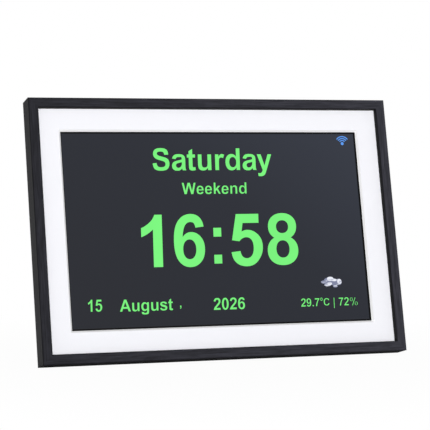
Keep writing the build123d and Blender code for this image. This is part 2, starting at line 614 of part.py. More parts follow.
def main_board_pieces():
    screw_length = BOARD_THICKNESS + SMALL_SCREW_BITE
    connector_x = MAIN_BOARD_LEFT + CONNECTOR_WIDTH / 2
    return {
        "main_board": board_with_holes(
            MAIN_BOARD_WIDTH,
            MAIN_BOARD_HEIGHT,
            BOARD_FRONT,
            BOARD_THICKNESS,
            MAIN_BOARD_X,
            MAIN_BOARD_Z,
            BOARD_SCREW_PLACES,
        ),
        "processor": on_board(
            PROCESSOR_SIZE, PROCESSOR_SIZE, PROCESSOR_HEIGHT, PROCESSOR_SHARE, MAIN_BOARD_Z
        ),
        "memory_chips": [
            on_board(MEMORY_WIDTH, MEMORY_LENGTH, MEMORY_HEIGHT, MEMORY_SHARE, z) for z in MEMORY_HEIGHTS
        ],
        "wireless_module": on_board(
            WIRELESS_WIDTH, WIRELESS_LENGTH, WIRELESS_HEIGHT, WIRELESS_SHARE, WIRELESS_Z
        ),
        "board_capacitors": [capacitor(shares) for shares in CAPACITOR_SHARES],
        "backup_cell_holder": cell_holder(),
        "backup_cell": pillar(CELL_RADIUS, BOARD_BACK + HOLDER_FLOOR, CELL_HEIGHT, *CELL_PLACE),
        "display_connector": slab(
            DISPLAY_CONNECTOR_LENGTH,
            CONNECTOR_WIDTH,
            DISPLAY_CONNECTOR_FRONT,
            BOARD_FRONT - DISPLAY_CONNECTOR_FRONT,
            MAIN_BOARD_X,
            DISPLAY_CONNECTOR_Z,
        ),
        "key_ribbon_socket": slab(
            CONNECTOR_WIDTH,
            KEY_RIBBON_WIDTH + 2 * CONNECTOR_MARGIN,
            BOARD_BACK,
            CONNECTOR_DEPTH,
            connector_x,
            KEY_RIBBON_Z,
        ),
        "speaker_connector": slab(
            CONNECTOR_WIDTH,
            SPEAKER_CONNECTOR_LENGTH,
            BOARD_BACK,
            SPEAKER_CONNECTOR_DEPTH,
            connector_x,
            SPEAKER_CONNECTOR_Z,
        ),
        "dc_jack": dc_jack(),
        "dc_jack_pin": dc_jack_pin(),
        "main_board_screws": [
            small_screw(*place, BOARD_FRONT, screw_length) for place in BOARD_SCREW_PLACES
        ],
    }


def key_cap(z):
    rim = 2 * KEY_FLANGE_RIM
    flange = slab(KEY_WIDTH + rim, KEY_HEIGHT + rim, KEY_FLANGE_FRONT, KEY_FLANGE, KEY_X, z)
    cap = layer(
        rounded(KEY_WIDTH, KEY_HEIGHT, KEY_CORNER, KEY_X, z),
        KEY_FLANGE_FRONT,
        COVER_BACK + KEY_PROUD - KEY_FLANGE_FRONT,
    )
    cap = fillet(cap.faces().sort_by(Axis.Y)[-1].edges(), KEY_EDGE)
    return flange + cap


def key_switch(z):
    body = slab(SWITCH_SIZE, SWITCH_SIZE, KEY_BOARD_BACK, SWITCH_HEIGHT, KEY_X, z)
    bore_depth = PLUNGER_SEAT + KEY_TRAVEL + SLIP_FIT
    bore_front = KEY_BOARD_BACK + SWITCH_HEIGHT - bore_depth
    return body - pillar(PLUNGER_RADIUS + RUNNING_FIT, bore_front, bore_depth + OVERRUN, KEY_X, z)


def switch_plunger(z):
    length = PLUNGER_SEAT + PLUNGER_PROUD
    return pillar(PLUNGER_RADIUS, KEY_FLANGE_FRONT - length, length, KEY_X, z)


def key_pieces():
    ribbon_start = KEY_CONNECTOR_X + CONNECTOR_WIDTH / 2
    screw_length = KEY_BOARD_THICKNESS + SMALL_SCREW_BITE
    pieces = {
        "key_board": board_with_holes(
            KEY_BOARD_WIDTH,
            KEY_BOARD_HEIGHT,
            KEY_BOARD_FRONT,
            KEY_BOARD_THICKNESS,
            KEY_X,
            KEY_BOARD_Z,
            KEY_SCREW_PLACES,
        ),
        "key_switches": [key_switch(z) for z in KEY_PLACES.values()],
        "key_board_connector": slab(
            CONNECTOR_WIDTH,
            KEY_RIBBON_WIDTH + 2 * CONNECTOR_MARGIN,
            KEY_CONNECTOR_FRONT,
            KEY_BOARD_FRONT - KEY_CONNECTOR_FRONT,
            KEY_CONNECTOR_X,
            KEY_RIBBON_Z,
        ),
        "key_ribbon": slab(
            MAIN_BOARD_LEFT - ribbon_start,
            KEY_RIBBON_WIDTH,
            KEY_RIBBON_FRONT,
            RIBBON_SHEET,
            (MAIN_BOARD_LEFT + ribbon_start) / 2,
            KEY_RIBBON_Z,
        ),
        "key_board_screws": [
            small_screw(*place, KEY_BOARD_FRONT, screw_length) for place in KEY_SCREW_PLACES
        ],
    }
    for name, z in KEY_PLACES.items():
        pieces[f"key_{name}"] = key_cap(z)
        pieces[f"switch_plunger_{name}"] = switch_plunger(z)
    return pieces


def speaker_basket():
    place = (SPEAKER_X, SPEAKER_Z)
    ears = Rectangle(EAR_WIDTH, 2 * (SPEAKER_RADIUS + EAR_LENGTH))
    rim = layer(Pos(*place) * (Circle(SPEAKER_RADIUS) + ears), BASKET_FRONT, BASKET_RIM)
    basket = rim + pillar(BASKET_CUP_RADIUS, CUP_FRONT, BASKET_CUP_DEPTH, *place)
    hollow_depth = BASKET_CUP_DEPTH + BASKET_RIM - BASKET_WALL + OVERRUN
    basket -= pillar(BASKET_CUP_RADIUS - BASKET_WALL, CUP_FRONT + BASKET_WALL, hollow_depth, *place)
    for screw_place in SPEAKER_SCREW_PLACES:
        basket -= small_hole(*screw_place, BASKET_FRONT - OVERRUN, BASKET_RIM + 2 * OVERRUN)
    return basket


def speaker_cone():
    """A paper cone whose edge lies on the basket's rim, with a flat dust cap in its middle."""
    edge = BASKET_CUP_RADIUS
    seat = GASKET_FRONT
    bottom = seat - CONE_DEPTH
    profile = Polyline(
        (0, bottom),
        (CONE_CAP_RADIUS, bottom),
        (BASKET_CUP_RADIUS - BASKET_WALL - SLIP_FIT, seat),
        (edge, seat),
        (edge, seat + CONE_SHEET),
        (BASKET_CUP_RADIUS - BASKET_WALL - SLIP_FIT, seat + CONE_SHEET),
        (CONE_CAP_RADIUS, bottom + CONE_SHEET),
        (0, bottom + CONE_SHEET),
        close=True,
    )
    cone = revolve(make_face(profile), Axis.Y)
    return Pos(SPEAKER_X, 0, SPEAKER_Z) * cone


def speaker_gasket():
    ring = Circle(SPEAKER_RADIUS) - Circle(SPEAKER_RADIUS - GASKET_WIDTH)
    return layer(Pos(SPEAKER_X, SPEAKER_Z) * ring, GASKET_FRONT, GASKET_THICKNESS)


def speaker_lead():
    start = (SPEAKER_X + BASKET_CUP_RADIUS + LEAD_GAP, CUP_FRONT + BASKET_CUP_DEPTH / 2, SPEAKER_Z)
    end = (MAIN_BOARD_LEFT, BOARD_BACK + SPEAKER_CONNECTOR_DEPTH / 2, SPEAKER_CONNECTOR_Z)
    middle = [between(start, end, shares) for shares in SPEAKER_LEAD_SHARES]
    last = (middle[-1][0], end[1], end[2])
    return lead([start, *middle[:-1], last, end], SPEAKER_LEAD_RADIUS)


def aerial_lead():
    gap = AERIAL_LEAD_RADIUS + LEAD_GAP
    start = (AERIAL_LENGTH / 2 - AERIAL_LEAD_LAP, BOX_INSIDE - AERIAL_SHEET - gap, AERIAL_Z)
    module_x = MAIN_BOARD_X + WIRELESS_SHARE * MAIN_BOARD_WIDTH
    end = (module_x, BOARD_BACK + WIRELESS_HEIGHT + gap, WIRELESS_Z)
    along = (AERIAL_LENGTH / 2 + AERIAL_LEAD_LAP, start[1], start[2])
    middle = [between(along, end, shares) for shares in AERIAL_LEAD_SHARES]
    return lead([start, along, *middle, end], AERIAL_LEAD_RADIUS)


def sound_and_aerial_pieces():
    return {
        "speaker_basket": speaker_basket(),
        "speaker_cone": speaker_cone(),
        "speaker_magnet": pillar(MAGNET_RADIUS, CUP_FRONT - MAGNET_DEPTH, MAGNET_DEPTH, SPEAKER_X, SPEAKER_Z),
        "speaker_gasket": speaker_gasket(),
        "speaker_screws": [
            small_screw(*place, BASKET_FRONT, BASKET_RIM + GASKET_THICKNESS + COVER_WALL / 2)
            for place in SPEAKER_SCREW_PLACES
        ],
        "speaker_lead": speaker_lead(),
        "aerial": slab(AERIAL_LENGTH, AERIAL_WIDTH, BOX_INSIDE - AERIAL_SHEET, AERIAL_SHEET, 0, AERIAL_Z),
        "aerial_lead": aerial_lead(),
    }


def boss(place, seat, radius, hole_depth):
    """A post from the inside of the cover to a seat, and the pilot hole for its screw."""
    post = pillar(radius, seat, BOX_INSIDE + COVER_WALL / 2 - seat, *place)
    return post, small_hole(*place, seat - OVERRUN, hole_depth + OVERRUN)


def cover_bosses():
    hole = SMALL_SCREW_BITE + SCREW_TIP_GAP
    speaker_hole = GASKET_THICKNESS + COVER_WALL / 2 + SCREW_TIP_GAP / 2
    bosses = [boss(place, BOARD_BACK, BOSS_RADIUS, hole) for place in BOARD_SCREW_PLACES]
    bosses += [boss(place, KEY_BOARD_BACK, KEY_BOSS_RADIUS, hole) for place in KEY_SCREW_PLACES]
    bosses += [boss(place, GASKET_FRONT, BOSS_RADIUS, speaker_hole) for place in SPEAKER_SCREW_PLACES]
    return bosses


def grille_and_vents():
    """Slots through the back of the box: a round patch over the speaker, a row over the main board."""
    slots = []
    steps = int((GRILLE_RADIUS - GRILLE_SLOT) / GRILLE_PITCH)
    for step in range(-steps, steps + 1):
        across = step * GRILLE_PITCH
        slot = SlotOverall(2 * sqrt(GRILLE_RADIUS**2 - across**2), GRILLE_SLOT, rotation=90)
        slots.append(Pos(SPEAKER_X + across, SPEAKER_Z) * slot)
    vent = SlotOverall(VENT_LENGTH, VENT_WIDTH, rotation=90)
    for index in range(VENT_COUNT):
        across = (index - (VENT_COUNT - 1) / 2) * VENT_PITCH
        slots.append(Pos(MAIN_BOARD_X + across, SPEAKER_Z) * vent)
    return [layer(slot, BOX_INSIDE - OVERRUN, COVER_WALL + 2 * OVERRUN) for slot in slots]


def keyhole(side):
    z = BOX_TOP - KEYHOLE_DROP
    slot = Rectangle(KEYHOLE_SLOT_WIDTH, KEYHOLE_SLOT_RISE, align=(Align.CENTER, Align.MIN))
    top = Pos(0, KEYHOLE_SLOT_RISE) * Circle(KEYHOLE_SLOT_WIDTH / 2)
    outline = Pos(side * KEYHOLE_SPACING / 2, z) * (Circle(KEYHOLE_RADIUS) + slot + top)
    return layer(outline, BOX_INSIDE - OVERRUN, COVER_WALL + 2 * OVERRUN)


def key_openings():
    holes = []
    for z in KEY_PLACES.values():
        outline = rounded(KEY_WIDTH + 2 * KEY_GAP, KEY_HEIGHT + 2 * KEY_GAP, KEY_CORNER + KEY_GAP, KEY_X, z)
        holes.append(layer(outline, BOX_INSIDE - OVERRUN, COVER_WALL + 2 * OVERRUN))
    return holes


def stand_recess(wall):
    """The leg's pocket and the hinge's well, or with a wall the block that they are sunk in."""
    bottom = BOX_BOTTOM - OVERRUN
    reach = COVER_BACK + OVERRUN
    pocket_height = HINGE_Z + wall - bottom
    pocket = slab(
        POCKET_WIDTH + 2 * wall,
        pocket_height,
        POCKET_FLOOR - wall,
        reach - POCKET_FLOOR + wall,
        0,
        bottom + pocket_height / 2,
    )
    margin = 2 * (WELL_GAP + wall)
    well = slab(
        PLATE_WIDTH + margin, PLATE_HEIGHT + margin, WELL_FLOOR - wall, reach - WELL_FLOOR + wall, 0, PLATE_Z
    )
    return pocket + well


def cover_shell():
    """The cover's flange and hollow box, with the block that the stand's recess is cut into."""
    inset, walls = 2 * COVER_INSET, 2 * COVER_WALL
    rim = rounded(FRAME_WIDTH - inset, FRAME_HEIGHT - inset, COVER_CORNER)
    outside = rounded(BOX_WIDTH, BOX_HEIGHT, BOX_CORNER, 0, BOX_MIDDLE)
    inside = rounded(BOX_WIDTH - walls, BOX_HEIGHT - walls, BOX_CORNER - COVER_WALL, 0, BOX_MIDDLE)
    flange = layer(rim, RAIL_DEPTH, COVER_WALL)
    box = layer(outside, RAIL_DEPTH, COVER_BACK - RAIL_DEPTH)
    box = fillet(box.faces().sort_by(Axis.Y)[-1].edges(), BOX_EDGE)
    cavity = layer(inside, RAIL_DEPTH - OVERRUN, BOX_INSIDE - RAIL_DEPTH + OVERRUN)
    return flange + box - cavity + (stand_recess(COVER_WALL) & box)


def screw_openings():
    """Holes for the screws that hold the cover to the frame and the stand's bracket to the cover."""
    through = COVER_WALL + 2 * OVERRUN
    holes = []
    for side, end in CORNERS:
        place = (side * COVER_SCREW_X, end * BLOCK_Z)
        holes.append(pillar(COVER_SCREW_RADIUS + RUNNING_FIT, RAIL_DEPTH - OVERRUN, through, *place))
    for side in (-1, 1):
        holes.append(small_hole(side * LUG_X, HINGE_Z, BRACKET_SCREW_SEAT - OVERRUN, through))
    return holes


def jack_opening():
    radius = JACK_NOZZLE_RADIUS + JACK_GAP
    return rod(radius, BOX_INNER_SIDE - OVERRUN, COVER_WALL + 2 * OVERRUN, JACK_Y, JACK_Z)


def rear_cover():
    cover = cover_shell()
    bosses = cover_bosses()
    for post, _ in bosses:
        cover += post
    cuts = [stand_recess(0), jack_opening(), *[hole for _, hole in bosses]]
    cuts += [*screw_openings(), *grille_and_vents(), *key_openings()]
    cuts += [keyhole(side) for side in (-1, 1)]
    for cut in cuts:
        cover -= cut
    return cover


def stand_bracket():
    bracket = slab(PLATE_WIDTH, PLATE_HEIGHT, WELL_FLOOR, PLATE_THICKNESS, 0, PLATE_Z)
    rise = HINGE_Y - WELL_FLOOR
    for side in (-1, 1):
        place = (side * LUG_X, HINGE_Z)
        bracket += slab(LUG_THICKNESS, 2 * BARREL_RADIUS, WELL_FLOOR, rise, *place)
        bracket += rod(BARREL_RADIUS, side * LUG_X - LUG_THICKNESS / 2, LUG_THICKNESS, HINGE_Y, HINGE_Z)
        bracket -= small_hole(*place, WELL_FLOOR - OVERRUN, rise - PIN_RADIUS + OVERRUN)
    return bracket - rod(PIN_RADIUS + PIN_PRESS, -PLATE_WIDTH / 2, PLATE_WIDTH, HINGE_Y, HINGE_Z)


def leg_outline(rim, top, end):
    """The leg's tapering outline, drawn in by a rim, between two distances from the hinge."""
    neck, foot = BARREL_LENGTH / 2 - rim, LEG_FOOT_WIDTH / 2 - rim
    return make_face(Polyline((-neck, -top), (-foot, -end), (foot, -end), (neck, -top), close=True))


def leg_blank():
    """The leg about its hinge axis, folded flat and left long at the foot."""
    leg = layer(leg_outline(0, LEG_NECK, LEG_LENGTH + LEG_THICKNESS), LEG_FRONT, LEG_THICKNESS)
    neck_and_heel = LEG_NECK + HEEL_REACH
    leg += slab(
        BARREL_LENGTH, neck_and_heel, LEG_FRONT, BARREL_RADIUS - LEG_FRONT, 0, HEEL_REACH - neck_and_heel / 2
    )
    leg += rod(BARREL_RADIUS, -BARREL_LENGTH / 2, BARREL_LENGTH, 0, 0)
    leg -= rod(PIN_RADIUS + RUNNING_FIT, -BARREL_LENGTH, 2 * BARREL_LENGTH, 0, 0)
    recess_end = LEG_LENGTH - LEG_FOOT_SOLID
    panel = fillet(leg_outline(LEG_RIM, LEG_NECK + LEG_RIM, recess_end).vertices(), LEG_CORNER)
    leg -= layer(panel, LEG_BACK - LEG_PANEL_DEPTH, LEG_PANEL_DEPTH + OVERRUN)
    hollow = leg_outline(LEG_HOLLOW_RIM, LEG_NECK + LEG_HOLLOW_RIM, recess_end)
    hollow -= Rectangle(LEG_HOLLOW_RIM, 2 * LEG_LENGTH)
    return leg - layer(hollow, LEG_FRONT - OVERRUN, LEG_HOLLOW_DEPTH + OVERRUN)


LEG_PLACE = Pos(0, HINGE_Y, HINGE_Z) * Rot(LEG_ANGLE, 0, 0)
LEANED = Pos(0, 0, LIFT) * Rot(-LEAN, 0, 0)


def above_floor(bottom, height):
    """A level slice of the space under and round the leg, from a height above the floor."""
    reach = 2 * (LEG_LENGTH + LEG_THICKNESS)
    return Pos(0, 0, bottom) * Box(reach, reach, height, align=(Align.CENTER, Align.CENTER, Align.MIN))


def stand_pieces():
    """The stand, leaned back on the floor with the rest, with the foot cut level."""
    leg = LEANED * LEG_PLACE * leg_blank()
    upright = {
        "stand_bracket": stand_bracket(),
        "stand_bracket_screws": [
            small_screw(side * LUG_X, HINGE_Z, BRACKET_SCREW_SEAT, BRACKET_SCREW_LENGTH) for side in (-1, 1)
        ],
        "stand_hinge_pin": rod(
            PIN_RADIUS, -LUG_X - LUG_THICKNESS / 2, 2 * LUG_X + LUG_THICKNESS, HINGE_Y, HINGE_Z
        ),
    }
    return {
        **leaned(upright),
        "stand_leg": leg & above_floor(PAD_THICKNESS, LEG_LENGTH + FRAME_HEIGHT),
        "stand_foot_pad": leg & above_floor(0, PAD_THICKNESS),
    }


def leaned(pieces):
    moved = {}
    for name, piece in pieces.items():
        moved[name] = [LEANED * solid for solid in piece] if isinstance(piece, list) else LEANED * piece
    return moved


def all_pieces():
    upright = {f"frame_rail_{side}": frame_rail(side) for side in ("top", "bottom", "left", "right")}
    upright.update(display_pieces())
    upright.update(fixing_pieces())
    upright.update(main_board_pieces())
    upright.update(key_pieces())
    upright.update(sound_and_aerial_pieces())
    upright["rear_cover"] = rear_cover()
    return {**leaned(upright), **stand_pieces()}


# The origin is on the floor, midway between the frame's foremost edge and the leg's foot
PIECES = all_pieces()
FRONT_LIMIT = PIECES["frame_rail_bottom"].bounding_box().min.Y
BACK_LIMIT = PIECES["stand_foot_pad"].bounding_box().max.Y
TO_ORIGIN = Pos(0, -(FRONT_LIMIT + BACK_LIMIT) / 2, 0)

os.makedirs("parts", exist_ok=True)
for name, piece in PIECES.items():
    solids = piece if isinstance(piece, list) else [piece]
    placed = [TO_ORIGIN * solid for solid in solids]
    export_step(placed[0] if len(placed) == 1 else Compound(children=placed), f"parts/{name}.step")
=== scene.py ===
import json
from math import atan2, cos, pi, radians, sin

import bmesh
import bpy
from mathutils import Matrix, Vector
from mathutils.geometry import delaunay_2d_cdt


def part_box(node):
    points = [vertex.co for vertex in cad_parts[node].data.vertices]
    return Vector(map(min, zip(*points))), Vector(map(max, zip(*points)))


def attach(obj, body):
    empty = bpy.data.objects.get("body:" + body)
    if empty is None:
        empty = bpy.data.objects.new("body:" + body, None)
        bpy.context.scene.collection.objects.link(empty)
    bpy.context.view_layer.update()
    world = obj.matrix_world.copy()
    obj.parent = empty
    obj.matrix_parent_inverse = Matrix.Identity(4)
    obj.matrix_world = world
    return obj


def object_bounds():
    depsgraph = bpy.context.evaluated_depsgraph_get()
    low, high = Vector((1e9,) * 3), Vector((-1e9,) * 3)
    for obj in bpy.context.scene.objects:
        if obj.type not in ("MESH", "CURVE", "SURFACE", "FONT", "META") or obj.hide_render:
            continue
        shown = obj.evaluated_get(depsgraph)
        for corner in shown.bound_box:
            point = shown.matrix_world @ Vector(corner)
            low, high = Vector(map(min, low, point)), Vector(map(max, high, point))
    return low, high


bl_info = {
    "name": "Calendar clock finishes",
    "version": (1, 0, 0),
    "blender": (4, 5, 0),
    "location": "View3D > Sidebar > Clock",
    "description": "Finishes, lit readout and stage for a framed digital calendar clock",
    "category": "Object",
}

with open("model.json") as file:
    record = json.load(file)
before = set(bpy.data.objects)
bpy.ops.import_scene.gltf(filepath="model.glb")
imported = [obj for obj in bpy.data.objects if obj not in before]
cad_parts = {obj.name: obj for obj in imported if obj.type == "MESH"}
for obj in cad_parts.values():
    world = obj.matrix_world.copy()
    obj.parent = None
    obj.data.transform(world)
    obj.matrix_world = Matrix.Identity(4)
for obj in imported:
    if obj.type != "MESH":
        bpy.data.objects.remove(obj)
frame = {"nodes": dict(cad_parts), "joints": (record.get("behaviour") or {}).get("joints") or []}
CAD_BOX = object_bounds()
MILLIMETRE = 0.001

# The clock's own directions, which lean back with it: the keys are pressed in along their joints' axis
BACK = -Vector(next(joint["axis"] for joint in frame["joints"] if joint["type"] == "slide")).normalized()
RIGHT = Vector((1, 0, 0))
UP = RIGHT.cross(BACK)
LEAN = atan2(UP.y, UP.z)

# Rails: the axis along the grain, where the inner side looks, and the painted shade on the outer eased edge
# and the outer side; then the painted shade on the inner side and inner eased edge, and the strengths of
# painted light at the clock's left and right ends
ACROSS_CLOCK, UP_CLOCK = 0, 2
RAILS = {
    "top": (ACROSS_CLOCK, -UP, 0.45, 1.0),
    "bottom": (ACROSS_CLOCK, UP, 0.8, 0.5),
    "left": (UP_CLOCK, RIGHT, 0.45, 0.38),
    "right": (UP_CLOCK, -RIGHT, 0.45, 1.0),
}
INNER_SIDE_PAINTED_SHADE, INNER_EDGE_PAINTED_SHADE = 0.12, 0.4
PAINTED_LIGHT_ENDS = (0.74, 1.365)

# Marks to the metre in the wood: across its grain, and along it for the figure and for the pores
WOOD_ACROSS = 1300.0
FIGURE_ALONG = 60.0
PORES_ALONG = 120.0

# Marks to the metre in drawn or brushed metal and in the screws, and in the tracks of the circuit boards
DRAWN_METAL = (60.0, 2200.0, 2200.0)
SCREW_METAL = (900.0, 900.0, 900.0)
BOARD_TRACKS = (420.0, 420.0, 420.0)

# Cosines between which a face comes to count as looking in a direction
FACING_FROM, FACING_FULL = 0.75, 0.98

# Colours of the small pieces and of those inside, as the screen shows them
DIFFUSER_FILM = (0.93, 0.93, 0.93)
ACRYLIC = (0.92, 0.95, 0.96)
LED_BOARD = (0.86, 0.86, 0.80)
IVORY_PLASTIC = (0.90, 0.87, 0.78)
BLACK_PLASTIC = (0.08, 0.08, 0.085)
CHIP_RESIN = (0.09, 0.09, 0.095)
SHIELD_STEEL = (0.75, 0.75, 0.76)
ALUMINIUM = (0.80, 0.80, 0.82)
CELL_STEEL = (0.74, 0.74, 0.74)
BRASS = (0.80, 0.66, 0.32)
RIBBON_FILM = (0.86, 0.88, 0.92)
CONE_PAPER, CONE_EDGE = (0.13, 0.13, 0.13), (0.16, 0.16, 0.16)
FERRITE = (0.17, 0.17, 0.18)
GASKET_RUBBER = (0.07, 0.07, 0.07)
LEAD_RUBBER = (0.09, 0.09, 0.09)
AERIAL_FILM = (0.42, 0.30, 0.12)
PLUNGER_PLASTIC = (0.75, 0.74, 0.70)
PIN_STEEL = (0.62, 0.62, 0.64)
PAD_RUBBER = (0.06, 0.06, 0.06)

# The display: haze to the metre of its film, roughness and base colour of what is lit, and how much a painted
# reflection on the lit ground gains to the metre across and up the clock, between the ends for its low and
# its high colour
HAZE = 9000.0
LIT_ROUGHNESS = 0.34
UNLIT = (0.004, 0.004, 0.004, 1.0)
PAINTED_GLARE_SLOPE = (3.0, 0.0, 3.7)
GLARE_FROM, GLARE_TO = -0.2, 0.93

# Stage, in metres: the lamps, the floor, the distances between which its shading by the clock fades to white,
# how far round the bottom rail no white is mirrored, and the nearest that the camera sees
FRONT_LAMP = (-0.9, -4.75, 0.7)
BACK_LAMP = (1.2, 4.7, 0.7)
LAMP_AIM = (0.0, 0.0, 0.09)
LAMP_SIZE = 2.4
FLOOR_RADIUS = 9.0
FLOOR_SIDES = 96
SHADE_FROM, SHADE_TO = 0.10, 0.32
RAIL_SHADE_REACH = 0.012
NEAREST_SEEN = 0.01
WHITE = (1.0, 1.0, 1.0, 1.0)

# Width of the camera's sensor, in millimetres
SENSOR_WIDTH = 36.0

# Outlines: straight pieces in a curve, how full a letter's ovals and a circle are, the least that a corner
# counts as open when it is drawn in, the distance within which points join, and the filling of closed loops
CURVE_STEPS = 6
LETTER_FULLNESS = 0.45
CIRCLE_FULLNESS = 0.414
LEAST_OPENING = 0.4
JOIN_DISTANCE = 0.001
FILL_LOOPS = 1


def oval(left, bottom, right, top, fullness=LETTER_FULLNESS):
    """A closed round outline that fills a box, as curve controls."""
    x, y = (left + right) / 2, (bottom + top) / 2
    half_width, half_height = right - x, top - y
    controls = []
    for across, up in ((1, 1), (-1, 1), (-1, -1), (1, -1)):
        pair = [
            [x + across * half_width, y + up * fullness * half_height],
            [x + across * fullness * half_width, y + up * half_height],
        ]
        controls += pair if across == up else pair[::-1]
    return controls


def disc(x, y, radius):
    return oval(x - radius, y - radius, x + radius, y + radius, CIRCLE_FULLNESS)


def bar(left, bottom, right, top):
    return [(left, bottom), (right, bottom), (right, top), (left, top)]


def turned_over(controls, width, height):
    """A letter's outline after half a turn within its width and height."""
    return [type(point)((width - point[0], height - point[1])) for point in controls]


